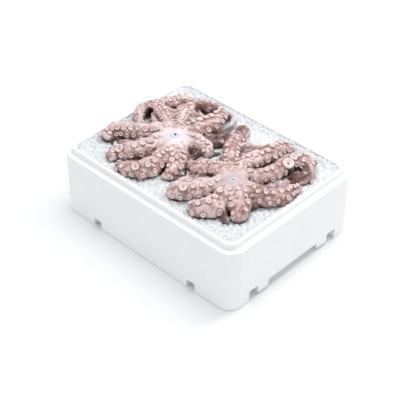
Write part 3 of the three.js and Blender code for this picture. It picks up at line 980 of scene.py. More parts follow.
class Lattice:
    """A block of evenly spaced sample points, on which a body is described by its distance."""

    def __init__(self, low: np.ndarray, high: np.ndarray, pitch: float) -> None:
        """Lays out the points.

        Args:
            low: Lowest corner.
            high: Highest corner.
            pitch: Spacing.
        """
        self.low = np.asarray(low, dtype=np.float64)
        self.pitch = pitch
        self.count = np.ceil((np.asarray(high) - self.low) / pitch).astype(int) + 1
        self.lines = [self.low[a] + pitch * np.arange(self.count[a]) for a in range(3)]

    def filled(self, value: float) -> np.ndarray:
        """An array over all the points."""
        return np.full(tuple(self.count), value, dtype=np.float32)

    def window(
        self, low: np.ndarray, high: np.ndarray,
    ) -> tuple[tuple[slice, ...], tuple[np.ndarray, ...]]:
        """The points inside a box.

        Args:
            low: Its lowest corner.
            high: Its highest corner.

        Returns:
            Slices into an array, and open coordinate grids.
        """
        first = np.clip(np.floor((low - self.low) / self.pitch).astype(int), 0, self.count)
        last = np.clip(np.ceil((high - self.low) / self.pitch).astype(int) + 1, 0, self.count)
        cut = tuple(slice(a, b) for a, b in zip(first, last))
        lines = [line[part] for line, part in zip(self.lines, cut)]
        return cut, np.meshgrid(*lines, indexing="ij", sparse=True)

    def sample(self, values: np.ndarray, points: np.ndarray) -> np.ndarray:
        """Values between the sample points, by trilinear interpolation.

        Args:
            values: An array over the lattice.
            points: Positions, along the last axis.

        Returns:
            One value for each position.
        """
        place = (points - self.low) / self.pitch
        cell = np.clip(np.floor(place).astype(int), 0, self.count - 2)
        part = np.clip(place - cell, 0.0, 1.0)
        total = np.zeros(points.shape[:-1])
        for corner in product((0, 1), repeat=3):
            weight = np.prod(np.where(corner, part, 1.0 - part), axis=-1)
            at = cell + corner
            total += weight * values[at[..., 0], at[..., 1], at[..., 2]]
        return total

    def surface(self, values: np.ndarray) -> tuple[np.ndarray, np.ndarray]:
        """The skin where the distance is 0, one point for each cell that it crosses.

        Args:
            values: Distances, negative inside.

        Returns:
            Points and four-cornered faces that look outwards.
        """
        inside = values < 0
        ends = (slice(None, -1), slice(1, None))
        corners = product(ends, repeat=3)
        total = sum(inside[corner].astype(np.int8) for corner in corners)
        crossed = (total > 0) & (total < 8)
        cells = np.argwhere(crossed)
        number = np.full(crossed.shape, -1, dtype=np.int64)
        number[crossed] = np.arange(len(cells))
        gathered, hits = np.zeros((len(cells), 3)), np.zeros(len(cells))
        faces = []
        for axis in Axis:
            step = np.eye(3, dtype=int)[axis.value]
            one, two = (np.eye(3, dtype=int)[(axis.value + k) % 3] for k in (1, 2))
            for shift in product((0, 1), repeat=2):
                start = cells + shift[0] * one + shift[1] * two
                stop = start + step
                a, b = values[tuple(start.T)], values[tuple(stop.T)]
                meets = (a < 0) != (b < 0)
                share = a[meets] / (a[meets] - b[meets])
                gathered[meets] += start[meets] + share[:, None] * step
                hits[meets] += 1
            lead = [slice(None)] * 3
            trail = [slice(None)] * 3
            lead[axis.value], trail[axis.value] = slice(None, -1), slice(1, None)
            edge = np.argwhere(inside[tuple(lead)] != inside[tuple(trail)])
            room = (edge @ one > 0) & (edge @ two > 0)
            room &= (edge @ one < inside.shape[(axis.value + 1) % 3] - 1)
            room &= (edge @ two < inside.shape[(axis.value + 2) % 3] - 1)
            edge = edge[room]
            around = ((0, 0), (1, 0), (1, 1), (0, 1))
            quad = np.stack([number[tuple((edge - i * one - j * two).T)] for i, j in around], 1)
            outward = inside[tuple(edge.T)]
            quad[~outward] = quad[~outward][:, ::-1]
            faces.append(quad)
        points = self.low + self.pitch * gathered / hits[:, None]
        return points, np.concatenate(faces)


def relaxed(points: np.ndarray, faces: np.ndarray, rounds: int) -> np.ndarray:
    """Evens out a skin without shrinking it much.

    Args:
        points: Its corners.
        faces: Its four-cornered faces.
        rounds: How often each corner moves towards its neighbours and part of the way back.

    Returns:
        The moved corners.
    """
    edges = np.concatenate([faces[:, [a, (a + 1) % 4]] for a in range(4)])
    degree = np.maximum(np.bincount(edges[:, 0], minlength=len(points)), 1)[:, None]
    for turn in range(2 * rounds):
        sums = [
            np.bincount(edges[:, 0], weights=points[edges[:, 1], a], minlength=len(points))
            for a in range(3)
        ]
        middle = np.stack(sums, axis=1) / degree
        points = points + (0.55 if turn % 2 == 0 else -0.45) * (middle - points)
    return points


# ---------------------------------------------------------------- the octopuses


@dataclass(frozen=True)
class Big:
    """An outsized sucker: its share of the arm's length, its row and its radius."""

    share: float
    row: float
    radius: float


@dataclass(frozen=True)
class Trace:
    """An arm's centre line as arrays, with the axes across it."""

    centre: np.ndarray
    along: np.ndarray
    face: np.ndarray
    side: np.ndarray
    share: np.ndarray
    radius: np.ndarray
    length: float

    def at(self, share: float) -> tuple[np.ndarray, np.ndarray, np.ndarray, np.ndarray, float]:
        """The arm at a share of its length.

        Args:
            share: The share, from 0 to 1.

        Returns:
            Centre, axis along, axis to the suckers, axis across and radius.
        """
        place = float(np.clip(share, 0, 1)) * (len(self.share) - 1)
        low = min(int(place), len(self.share) - 2)
        part = place - low
        rows = (self.centre, self.along, self.face, self.side, self.radius)
        centre, *axes, radius = ((1 - part) * row[low] + part * row[low + 1] for row in rows)
        along, face, side = (unit(axis) for axis in axes)
        return centre, along, face, side, float(radius)

    @property
    def tip(self) -> float:
        """The arm's radius at its tip."""
        return float(self.radius[-1])


@dataclass(frozen=True)
class Arm:
    """One arm: greatest and tip radius, the roll of its suckers in degrees and its route in plan."""

    thick: float
    tip: float
    lean: float
    route: Route
    dive: float = 3.0
    rest: float | None = None
    crown: float = 134.5
    loose: bool = False
    big: tuple[Big, ...] = ()
    twist_from: float = 1.0
    twist: float = 0.0
    flesh: Flesh = Flesh.ARM
    sucker: float = 0.27
    spread: float = 35.0
    ruddy: float = 0.0
    web: float = 0.5
    rise: float = -0.25
    sag: float = 7.0

    def radius_at(self, share: np.ndarray) -> np.ndarray:
        """The arm's radius at shares of its length."""
        swell = 1.0 if self.loose else 0.72 + 0.28 * smooth(0.0, 0.35, share)
        return self.thick * swell * (1 - (1 - self.tip / self.thick) * smooth(0.6, 1.0, share))

    def height_at(self, share: np.ndarray) -> np.ndarray:
        """The centre line's height at shares of its way in plan."""
        rest = 120.0 + 0.5 * self.radius_at(share) if self.rest is None else self.rest
        return rest + (self.crown - rest) * (1 - share) ** 2.6 - self.dive * smooth(0.72, 1.0, share)

    def line(self, mouth: tuple[float, float]) -> np.ndarray:
        """The centre line as close points.

        Args:
            mouth: The octopus's mouth in plan.

        Returns:
            Points on a centripetal Catmull-Rom curve.
        """
        plan = np.array(self.route, dtype=float)
        if not self.loose:
            plan = np.vstack((plan[0] + 0.65 * (np.array(mouth) - plan[0]), plan))
        run = np.concatenate(([0.0], np.cumsum(np.linalg.norm(np.diff(plan, axis=0), axis=1))))
        knots = np.column_stack((plan, self.height_at(run / run[-1])))
        knots = np.vstack((2 * knots[0] - knots[1], knots, 2 * knots[-1] - knots[-2]))
        part = np.linspace(0, 1, 40, endpoint=False)[:, None]
        points = []
        for a, b, c, d in zip(knots, knots[1:], knots[2:], knots[3:]):
            steps = ((a, b), (b, c), (c, d))
            ta, tb, tc = (math.sqrt(max(np.linalg.norm(q - p), 1e-6)) for p, q in steps)
            leave = ((b - a) / ta - (c - a) / (ta + tb) + (c - b) / tb) * tb
            arrive = ((c - b) / tb - (d - b) / (tb + tc) + (d - c) / tc) * tb
            third, second = 2 * b - 2 * c + leave + arrive, 3 * c - 3 * b - 2 * leave - arrive
            points.append(third * part ** 3 + second * part ** 2 + leave * part + b)
        points.append(knots[-2][None])
        return np.concatenate(points)

    def trace(self, mouth: tuple[float, float], step: float = 1.6) -> Trace:
        """The centre line at even steps, with its axes.

        Args:
            mouth: The octopus's mouth in plan.
            step: Spacing.

        Returns:
            The trace.
        """
        line = self.line(mouth)
        run = np.concatenate(([0.0], np.cumsum(np.linalg.norm(np.diff(line, axis=0), axis=1))))
        share = np.linspace(0, 1, max(12, int(run[-1] / step)))
        centre = np.stack([np.interp(share * run[-1], run, line[:, a]) for a in range(3)], axis=1)
        along = unit(np.gradient(centre, axis=0))
        lean = math.radians(self.lean)
        face = LEAN_SIDE * math.sin(lean) + np.array((0.0, 0.0, math.cos(lean)))
        face = unit(face - along * (along @ face)[:, None])
        side = np.cross(face, along)
        if self.twist:
            twisted = smooth(self.twist_from, min(1.0, self.twist_from + 0.3), share)[:, None]
            turn = math.radians(self.twist) * twisted
            cos, sin = np.cos(turn), np.sin(turn)
            face, side = face * cos + side * sin, side * cos - face * sin
        return Trace(centre, along, face, side, share, self.radius_at(share), float(run[-1]))


@dataclass(frozen=True)
class SuckerRule:
    """How the suckers follow an arm."""

    scale: float = 0.92
    root_size: float = 0.42
    grown_at: float = 0.42
    pitch: float = 1.3
    first: float = 0.10
    first_loose: float = 0.04
    last: float = 0.985
    smallest: float = 0.9
    spacing: float = 0.78
    sunk: float = -0.14
    mound: float = 1.12
    mound_sunk: float = 0.72
    plump: float = 0.93

    def radius(self, arm: "Arm", share: float) -> float:
        """A sucker's radius.

        Args:
            arm: The arm that it sits on.
            share: Its share of the arm's length.

        Returns:
            The radius.
        """
        grown = 1.0
        if not arm.loose:
            grown = self.root_size + (1 - self.root_size) * float(smooth(0.0, self.grown_at, share))
        return self.scale * arm.sucker * (float(arm.radius_at(share)) + arm.thick) / 2 * grown


@dataclass(frozen=True)
class Spot:
    """Where one sucker sits: its radius, centre on the skin, outward direction and the arm's direction."""

    radius: float
    centre: np.ndarray
    out: np.ndarray
    along: np.ndarray


@dataclass(frozen=True)
class Dent:
    """A pit in the crown or the webs, with painted shade on the skin below its top; one of no depth paints
    only the shade.
    """

    place: tuple[float, float]
    reach: float
    depth: float = 6.0
    shade: float = 0.8
    top: float = 136.0

    def share(self, x: np.ndarray, y: np.ndarray) -> np.ndarray:
        """How far into the pit plan positions lie.

        Args:
            x: Positions along X.
            y: Positions along Y.

        Returns:
            1 in its middle, falling to 0 outside it.
        """
        return np.exp(-((x - self.place[0]) ** 2 + (y - self.place[1]) ** 2) / self.reach ** 2)


# A sucker's section: reach and height in radii, and the place from its hole (0) to its stalk (1).
CUP_PROFILE = np.array((
    (0.00, -0.15, 0.00), (0.09, -0.10, 0.07), (0.15, 0.16, 0.13), (0.32, 0.30, 0.25), (0.46, 0.33, 0.33),
    (0.55, 0.31, 0.38), (0.64, 0.42, 0.43), (0.78, 0.53, 0.50), (0.92, 0.48, 0.58), (1.00, 0.30, 0.64),
    (0.97, 0.10, 0.72), (0.82, -0.08, 0.82), (0.72, -0.55, 1.00),
))
# The lips' section from the beak out: reach, height and share of the frill.
LIP_ROWS = (
    (1.9, -3.0, 0.0), (2.2, -0.6, 0.2), (3.2, 0.7, 0.5), (4.8, 1.2, 1.0), (6.6, 0.9, 1.0),
    (8.4, 0.0, 0.7), (9.8, -1.8, 0.3),
)
# Wave lengths and depths of the flesh's lumps.
LUMPS = ((23.0, 0.65), (14.0, 0.45), (9.0, 0.28), (6.3, 0.16), (4.5, 0.08))


@dataclass
class Octopus:
    """One octopus on its back: crown, webs, arms, suckers, lips and beak."""

    name: str
    node: str
    mouth: tuple[float, float]
    arms: tuple[Arm, ...]
    seed: int
    pitch: float = 1.3
    crown_height: float = 150.0
    crown_radius: float = 40.0
    crown_profile: tuple[tuple[float, float], ...] = (
        (0, 1.8), (6, 1.4), (9, 1.4), (14, 3.0), (20, 6.5), (28, 13.0), (36, 22.0), (42, 36.0),
    )
    crown_grade: float = 0.85
    sheet_grade: float = 0.8
    fillet: float = 5.5
    fillet_loss: float = 4.3
    web_blend: float = 4.0
    skirt_blend: float = 2.0
    paleness: float = 1.0
    skirt_reach: float = 0.82
    skirt_height: float = 124.5
    underside: float = 115.5
    ceiling: float = 155.0
    flattening: float = 0.07
    tip_taper: float = 0.45
    rule: SuckerRule = field(default_factory=SuckerRule)
    beak_turn: float = 0.0
    mouth_size: float = 1.0
    dents: tuple[Dent, ...] = ()
    room: tuple[float, float] = (182.2, 135.2)

    def __post_init__(self) -> None:
        """Traces the arms and lays out the lattice."""
        self.traces = [arm.trace(self.mouth) for arm in self.arms]
        reach = np.concatenate([
            trace.centre + side * trace.radius[:, None] for trace in self.traces for side in (-1.15, 1.15)
        ])
        low, high = reach.min(axis=0) - 5, reach.max(axis=0) + 5
        low[2], high[2] = self.underside - 3, self.ceiling
        self.lattice = Lattice(low, high, self.pitch)
        self.distance = self.lattice.filled(FAR)
        self.lift = self.lattice.filled(1.0)
        self.owner = np.zeros(tuple(self.lattice.count), dtype=np.int8)
        self.random = np.random.default_rng(self.seed)

    def arm_distance(self, trace: Trace) -> tuple[np.ndarray, np.ndarray]:
        """The distance from one arm, and how far each point lies round towards its suckers.

        Args:
            trace: The arm.

        Returns:
            Distances, and cosines from 1 at the sucker side to -1 at the back.
        """
        near, cosine = self.lattice.filled(FAR), self.lattice.filled(1.0)
        phase = self.random.uniform(0, PHASE, 3)
        travel = trace.share * trace.length
        uneven = 1 + 0.03 * np.sin(travel / 17 + phase[0]) + 0.025 * np.sin(travel / 7.3 + phase[1])
        radius = trace.radius * uneven
        end = smooth(1 - 0.6 * trace.tip / trace.length, 1.0, trace.share)
        radius = radius * (1 - self.tip_taper * end)
        for k in range(len(travel) - 1):
            start, step = trace.centre[k], trace.centre[k + 1] - trace.centre[k]
            room = radius[k] + 8.0
            low = np.array((start[0] - room, start[1] - room, self.underside))
            cut, (x, y, z) = self.lattice.window(np.minimum(low, low + step), start + np.abs(step) + room)
            drop = radius[k] / max(radius[k], start[2] - self.underside)
            dx, dy, dz = x - start[0], y - start[1], z - start[2]
            part = np.clip((dx * step[0] + dy * step[1] + dz * step[2]) / (step @ step), 0, 1)
            dx, dy, dz = dx - part * step[0], dy - part * step[1], dz - part * step[2]
            dz = np.where(dz < 0, dz * drop, dz)
            face = trace.face[k]
            away = np.sqrt(dx * dx + dy * dy + dz * dz) + 1e-6
            turned = (dx * face[0] + dy * face[1] + dz * face[2]) / away
            form = 1 - self.flattening * np.clip(turned, 0, 1) ** 2
            here = away - (radius[k] + part * (radius[k + 1] - radius[k])) * form
            better = here < near[cut]
            near[cut] = np.where(better, here, near[cut])
            cosine[cut] = np.where(better, turned, cosine[cut])
        return near, cosine

    def web_map(
        self, first: float, last: float = 1.0, sag: float = 0.0, level: float | None = None,
    ) -> np.ndarray:
        """Heights in plan of the skin stretched from arm to arm.

        Args:
            first: Share of the arms where it starts.
            last: Share where it ends. Without a level, each arm's own share counts.
            sag: How deep it hangs between two arms. Without a level, each arm's own sag counts.
            level: Its level, or None where it follows the arms' centre lines.

        Returns:
            Heights, and a low level where there is no skin.
        """
        nx, ny = self.lattice.count[:2]
        total, weight = np.zeros((nx, ny)), np.zeros((nx, ny))
        centre = np.array(self.mouth)
        main = [t for t, arm in zip(self.traces, self.arms) if not arm.loose]
        webs = [(arm.web, arm.rise, arm.sag) for arm in self.arms if not arm.loose]
        for i, trace in enumerate(main):
            other = main[(i + 1) % len(main)]
            stop, rise, deep = webs[i] if level is None else (last, 0.0, sag)
            for share in np.linspace(first, stop, 70):
                (a, *_, wide_a), (b, *_, wide_b) = trace.at(share), other.at(share)
                a, b = a + (0, 0, rise * wide_a), b + (0, 0, rise * wide_b)
                across = np.linspace(0, 1, 70)[:, None]
                points = a * (1 - across) + b * across
                hang = deep * 4 * across[:, 0] * (1 - across[:, 0]) * share / stop
                height = (points[:, 2] if level is None else level) - hang
                points[:, :2] += (centre - points[:, :2]) * (0.08 * 4 * across * (1 - across))
                cell = np.rint((points[:, :2] - self.lattice.low[:2]) / self.pitch).astype(int)
                cell = np.clip(cell, 0, (nx - 1, ny - 1))
                np.add.at(total, tuple(cell.T), height)
                np.add.at(weight, tuple(cell.T), 1.0)
        spread, held = blurred(total, 1.6), blurred(weight, 1.6)
        heights = spread / np.maximum(held, 1e-6)
        cover = smooth(0.02, 0.35, held)
        return (self.underside - 6.0) * (1 - cover) + heights * cover

    def grow(self) -> None:
        """Fills the lattice with the whole body."""
        _, (x, y, z) = self.lattice.window(self.lattice.low, self.lattice.low + 1e4)
        out = np.hypot(x - self.mouth[0], y - self.mouth[1])
        fillet = self.fillet - self.fillet_loss * smooth(20.0, 60.0, out)
        radii, depths = zip(*self.crown_profile)
        sunk = sum((dent.depth * dent.share(x, y) for dent in self.dents), 0 * out)
        top = self.crown_height - np.interp(out, radii, depths) - sunk
        body = np.maximum((z - top) * self.crown_grade, out - self.crown_radius) + 0 * z
        nearest = self.lattice.filled(FAR)
        for number, trace in enumerate(self.traces):
            away, cosine = self.arm_distance(trace)
            closer = away < nearest
            self.lift = np.where(closer, cosine, self.lift)
            self.owner[closer] = number
            nearest = np.minimum(nearest, away)
            body = soft_min(body, away, fillet)
        web = self.web_map(0.0)
        skirt = self.web_map(0.2, self.skirt_reach, 1.5, self.skirt_height)
        body = soft_min(body, (z - web[:, :, None] + sunk) * self.sheet_grade, self.web_blend)
        body = soft_min(body, (z - skirt[:, :, None]) * self.sheet_grade, self.skirt_blend)
        body = body + self.unevenness(x, y, z) * smooth(16.0, 40.0, out)
        walls = np.maximum(np.abs(x) - self.room[0], np.abs(y) - self.room[1]) + 0 * z
        body = np.maximum(body, walls - 6.0 * smooth(128.0, 131.0, z))
        self.nearest = nearest
        self.distance = np.maximum(body, self.underside - z).astype(np.float32)

    def share_of(self, points: np.ndarray, amounts: list[float]) -> np.ndarray:
        """An amount given for each arm, at skin points.

        Args:
            points: Skin points.
            amounts: One number for each arm.

        Returns:
            The nearest arm's number, blended where two arms meet.
        """
        return self.lattice.sample(np.array(amounts, dtype=np.float32)[self.owner], points)

    def unevenness(self, x: np.ndarray, y: np.ndarray, z: np.ndarray) -> np.ndarray:
        """Soft lumps of flesh.

        Args:
            x: Positions along X.
            y: Positions along Y.
            z: Positions along Z.

        Returns:
            Millimetres to add to the distance.
        """
        total = 0.0
        for length, depth in LUMPS:
            for _ in range(3):
                way = unit(self.random.normal(size=3)) * 2 * math.pi / length
                phase = self.random.uniform(0, PHASE)
                total = total + depth * np.sin(x * way[0] + y * way[1] + z * way[2] + phase)
        return total

    def top_map(self) -> np.ndarray:
        """The body's greatest height at each plan position, or 0 where there is none."""
        inside = self.distance < 0
        return np.where(inside, self.lattice.lines[2][None, None, :], 0.0).max(axis=2)

    def spots(self) -> list[Spot]:
        """Places the suckers in two staggered rows along each arm, on the skin.

        Returns:
            The suckers that show.
        """
        found = []
        for arm, trace in zip(self.arms, self.traces):
            if arm.flesh is not Flesh.ARM:
                continue
            places = [(b.share, b.row, b.radius) for b in arm.big]
            share, row = (self.rule.first_loose if arm.loose else self.rule.first), 1
            while share < self.rule.last:
                radius = self.rule.radius(arm, share)
                clear = all(
                    abs(b.row - row) > ROW_SPLIT or abs(b.share - share) * trace.length > b.radius + radius
                    for b in arm.big
                )
                if clear and radius > self.rule.smallest:
                    size = radius * self.rule.plump * self.random.uniform(0.92, 1.08)
                    places.append((share + self.random.normal(0, 0.12 * radius / trace.length), row, size))
                share += self.rule.pitch * radius / trace.length
                row = -row
            set_down = [self.set_down(arm, trace, *place) for place in places]
            found += [spot for spot in set_down if spot is not None]
        kept = self.thinned(found)
        for spot in kept:
            self.raise_mound(spot)
        return kept

    def set_down(self, arm: Arm, trace: Trace, share: float, row: float, radius: float) -> Spot | None:
        """Sets one sucker on the skin.

        Args:
            arm: Its arm.
            trace: The arm's centre line.
            share: Its share of the arm's length.
            row: Its row, -1 or 1, or a place between them.
            radius: Its radius.

        Returns:
            The sucker, or None on the arm's last step and where other flesh covers it.
        """
        centre, along, face, side, reach = trace.at(share)
        angle = math.radians(arm.spread * row + self.random.normal(0, 3.0))
        if share >= trace.share[-2]:
            return None
        out = face * math.cos(angle) + side * math.sin(angle)
        way = np.linspace(0.3, 1.9, 33)[:, None] * reach
        level = self.lattice.sample(self.distance, centre + out * way)
        leaves = np.nonzero((level[:-1] < 0) & (level[1:] >= 0))[0]
        if not len(leaves):
            return None
        k = leaves[0]
        part = level[k] / (level[k] - level[k + 1])
        surface = centre + out * (way[k] + part * (way[k + 1] - way[k]))
        tilt = unit(out * 0.6 + self.slope(surface) + self.random.normal(0, 0.07, 3))
        return Spot(radius, surface - tilt * self.rule.sunk * radius, tilt, along)

    def raise_mound(self, spot: Spot) -> None:
        """Swells the skin under a sucker.

        Args:
            spot: The sucker.
        """
        middle = spot.centre + spot.out * (self.rule.sunk - self.rule.mound_sunk) * spot.radius
        reach = self.rule.mound * spot.radius
        cut, (x, y, z) = self.lattice.window(middle - 2 * reach, middle + 2 * reach)
        away = np.sqrt((x - middle[0]) ** 2 + (y - middle[1]) ** 2 + (z - middle[2]) ** 2) - reach
        self.distance[cut] = soft_min(self.distance[cut], away, 0.45 * spot.radius)

    def thinned(self, spots: list[Spot]) -> list[Spot]:
        """Drops suckers that would sit in another one, the smaller first.

        Args:
            spots: All the suckers.

        Returns:
            Those that stay, the largest first.
        """
        kept: list[Spot] = []
        for spot in sorted(spots, key=lambda s: -s.radius):
            reach = self.rule.spacing
            if all(np.linalg.norm(spot.centre - k.centre) > reach * (spot.radius + k.radius) for k in kept):
                kept.append(spot)
        return kept

    def slope(self, point: np.ndarray) -> np.ndarray:
        """The skin's outward direction.

        Args:
            point: A place on the skin.

        Returns:
            The direction.
        """
        steps = np.eye(3) * self.pitch
        ahead = self.lattice.sample(self.distance, point + steps)
        back = self.lattice.sample(self.distance, point - steps)
        return unit(ahead - back)

    def skin(self, spots: list[Spot], material: bpy.types.Material) -> bpy.types.Object:
        """The body's skin with its masks.

        Args:
            spots: The suckers, round whose feet the skin is darker, partly as painted contact shade.
            material: Its finish.

        Returns:
            The dressed piece.
        """
        points, faces = self.lattice.surface(self.distance)
        points = relaxed(points, faces, 2)
        piece = mesh_piece(self.name + "_skin", points, faces)
        for name, values in self.masks(points).items():
            set_mask(piece, name, values)
        # darker skin at the suckers' feet, partly painted contact shade
        set_mask(piece, "ring", self.foot_ring_and_shade_mask(points, spots))
        dress(piece, material)
        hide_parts(self.node)
        return piece

    def masks(self, points: np.ndarray) -> dict[str, np.ndarray]:
        """Where each colour of the skin shows, and where painted light and painted shade fall.

        Args:
            points: Skin points.

        Returns:
            Masks by name, from 0 to 1 at each point.
        """
        sheet, bare, flank = (
            self.share_of(points, [float(arm.flesh is kind) for arm in self.arms])
            for kind in (Flesh.WEB, Flesh.TIP, Flesh.SIDE)
        )
        ruddy = self.share_of(points, [arm.ruddy for arm in self.arms])
        cosine = self.lattice.sample(self.lift, points) * (1 - flank) - 0.15 * flank
        nearest = self.lattice.sample(self.nearest, points)
        height = points[:, 2]
        out = np.hypot(*(points[:, :2] - self.mouth).T)
        middle = 1 - smooth(10.0, 50.0, out)
        on_crown = 1 - smooth(30.0, 62.0, out)
        on_web = np.maximum(smooth(0.6, 3.0, nearest), sheet) * (1 - on_crown)
        # darker towards the ice: painted shade
        low = (1 - smooth(0.0, 1.0, (height - ICE_LEVEL) / (9.5 - 6.5 * on_web))) * (1 - bare)
        back = (1 - smooth(-0.42, 0.72, cosine)) * (1 - on_crown) * (1 - on_web)
        back = np.maximum(back, low * smooth(0.3, 1.0, on_web + low))
        # darker between the arms far from the mouth: dorsal skin, partly painted shade of the gaps
        back = np.maximum(back, 0.35 * smooth(0.6, 3.0, nearest) * smooth(65.0, 105.0, out))
        held = np.clip(self.distance, -6.0, 6.0)
        fine = self.lattice.sample(blurred(held, 2.4 / self.pitch), points)
        broad = self.lattice.sample(blurred(held, 6.5 / self.pitch), points)
        # painted shade: darkest in concave places below 141 mm and near the ice
        crevice_shade = smooth(0.35, 1.6, -broad) * smooth(0.0, 9.0, 141.0 - height) * (1 - 0.85 * bare)
        crevice_shade = np.maximum(crevice_shade, 0.92 * (1 - smooth(ICE_LEVEL, 127.0, height)) * (1 - bare))
        # the SIDE folds darkened as painted shade
        crevice_shade = np.maximum(crevice_shade, flank * (0.30 + 0.5 * smooth(-0.05, 0.4, -fine)))
        crevice_shade = crevice_shade * (1 - 0.6 * on_crown) * (1 - 0.4 * on_web)
        # painted shade at the dents, below each one's top
        pit = np.zeros(len(points))
        for dent in self.dents:
            deep = smooth(0.0, 7.0, dent.top - height)
            inside = smooth(0.1, 0.7, dent.share(points[:, 0], points[:, 1]))
            pit = np.maximum(pit, dent.shade * deep * inside)
        lilac = on_web * (1 - low) * (1 - 0.4 * smooth(55.0, 95.0, out)) + (1 - self.paleness) * middle
        return {
            "back": np.clip(back, 0, 1),
            "web": np.clip(lilac, 0, 1),
            "crevice_shade": np.clip(crevice_shade, 0, 1),
            "pit": np.clip(pit, 0, 1),
            # painted shade where the skin is concave, less near the mouth
            "hollow_shade": smooth(0.0, 0.45, -fine) * (1 - 0.7 * (1 - smooth(20.0, 46.0, out))),
            # painted light where the skin is convex
            "pale_and_ridge_light": smooth(0.05, 0.75, fine) * (1 - 0.9 * (1 - self.paleness) * middle),
            "bare": bare,
            "ruddy": ruddy * (1 - on_web) * smooth(22.0, 50.0, out),
            "crown": self.paleness * middle,
            "far": smooth(45.0, 120.0, out),
        }

    def foot_ring_and_shade_mask(self, points: np.ndarray, spots: list[Spot]) -> np.ndarray:
        """How close skin points are to the foot of a sucker, where the skin is darker, partly as painted
        contact shade.

        Args:
            points: Skin points.
            spots: The suckers.

        Returns:
            1 at a sucker's foot, falling to 0 a little way off.
        """
        mask = np.zeros(len(points))
        for spot in spots:
            near = np.nonzero(np.all(np.abs(points - spot.centre) < 1.7 * spot.radius, axis=1))[0]
            away = np.linalg.norm(points[near] - spot.centre, axis=1) / spot.radius
            mask[near] = np.maximum(mask[near], 1 - smooth(1.0, 1.55, away))
        return mask

    def suckers(self, spots: list[Spot], material: bpy.types.Material) -> bpy.types.Object:
        """All the suckers as one mesh.

        Args:
            spots: Where they sit.
            material: Their finish.

        Returns:
            The dressed piece.
        """
        points, faces, across, tint, faint = [], [], [], [], []
        rows = len(CUP_PROFILE) - 1
        start = 0
        for spot in spots:
            count = 22 if spot.radius > 5.5 else 16 if spot.radius > 3.2 else 12
            angle = np.arange(count) * 2 * math.pi / count
            phase = self.random.uniform(0, PHASE, 3)
            oval = 1 + 0.06 * np.sin(2 * angle + phase[0]) + 0.03 * np.sin(3 * angle + phase[1])
            wave = 0.035 * np.sin(3 * angle + phase[2])
            right = unit(np.cross(spot.out, spot.along))
            up = np.cross(right, spot.out)
            ring = right * np.cos(angle)[:, None] + up * np.sin(angle)[:, None]
            for reach, height, part in CUP_PROFILE[1:]:
                rim = smooth(0.2, 1.0, reach) * (height > 0)
                level = (height + wave * rim)[:, None] * spot.out
                points.append(spot.centre + spot.radius * (ring * (oval * reach)[:, None] + level))
                across.append(np.full(count, part))
            points.append((spot.centre + spot.radius * CUP_PROFILE[0, 1] * spot.out)[None])
            across.append(np.zeros(1))
            pole = start + rows * count
            faces += ring_faces(count, rows, start, flip=True)
            faces += [[start + i, start + (i + 1) % count, pole] for i in range(count)]
            tint.append(np.full(rows * count + 1, self.random.uniform(-0.4, 0.8)))
            faint.append(np.full(rows * count + 1, 1.0 - smooth(4.2, 8.0, spot.radius)))
            start = pole + 1
        piece = mesh_piece(self.name + "_suckers", np.concatenate(points), faces)
        set_mask(piece, "across", np.concatenate(across))
        set_mask(piece, "tint", np.concatenate(tint))
        set_mask(piece, "faint", np.concatenate(faint))
        dress(piece, material)
        return piece

    def lips(self, material: bpy.types.Material) -> bpy.types.Object:
        """The frilled ring round the beak.

        Args:
            material: Its finish.

        Returns:
            The dressed piece.
        """
        count = 84
        angle = np.arange(count) * 2 * math.pi / count
        frill = np.cos(14 * angle + 0.8 * np.sin(3 * angle))
        points = []
        for reach, height, share in LIP_ROWS:
            radius = self.mouth_size * reach * (1 + 0.035 * share * frill)
            x, y = self.mouth[0] + radius * np.cos(angle), self.mouth[1] + radius * np.sin(angle)
            points.append(np.column_stack((x, y, self.crown_height + height + 0.28 * share * frill)))
        faces = ring_faces(count, len(LIP_ROWS), flip=True)
        piece = mesh_piece(self.name + "_lips", np.concatenate(points), faces)
        dress(piece, material)
        return piece

    def beak(self, material: bpy.types.Material) -> bpy.types.Object:
        """The two halves of the beak, just parted.

        Args:
            material: Its finish.

        Returns:
            The dressed piece.
        """
        count, levels = 14, 7
        turn = math.radians(self.beak_turn)
        ahead = np.array((math.cos(turn), math.sin(turn)))
        across = np.array((-math.sin(turn), math.cos(turn)))
        points, faces = [], []
        for side, reach in ((-1, 1.0), (1, 0.85)):
            start = len(points)
            for level in range(levels):
                t = level / (levels - 1)
                size = (1.9 * (1 - t) ** 0.6 + 0.25) * reach * self.mouth_size
                middle = side * (1.75 - 0.7 * t ** 1.5) * self.mouth_size
                height = self.crown_height - 3.0 + 5.0 * t * reach
                for angle in np.arange(count) * 2 * math.pi / count:
                    forward = middle + 0.75 * size * math.cos(angle)
                    offset = ahead * forward + across * 1.15 * size * math.sin(angle)
                    points.append((self.mouth[0] + offset[0], self.mouth[1] + offset[1], height))
            faces += ring_faces(count, levels, start)
            faces.append([start + i for i in range(count)][::-1])
            faces.append([start + (levels - 1) * count + i for i in range(count)])
        piece = mesh_piece(self.name + "_beak", np.array(points), faces)
        dress(piece, material)
        return piece

    def build(self, finishes: "OctopusFinishes") -> None:
        """Makes all its pieces.

        Args:
            finishes: The materials.
        """
        self.grow()
        spots = self.spots()
        self.skin(spots, finishes.skin)
        self.suckers(spots, finishes.suckers)
        self.lips(finishes.lips)
        self.beak(finishes.beak)
        log.info("%s: %d suckers", self.name, len(spots))


@dataclass(frozen=True)
class OctopusFinishes:
    """The materials of an octopus."""

    skin: bpy.types.Material
    suckers: bpy.types.Material
    lips: bpy.types.Material
    beak: bpy.types.Material

    @staticmethod
    def built(effects: Effects) -> "OctopusFinishes":
        """All four, from the shared node groups."""
        return OctopusFinishes(
            SkinFinish().material(effects), SuckerFinish().material(effects),
            LipFinish().material(effects), BeakFinish().material(effects))


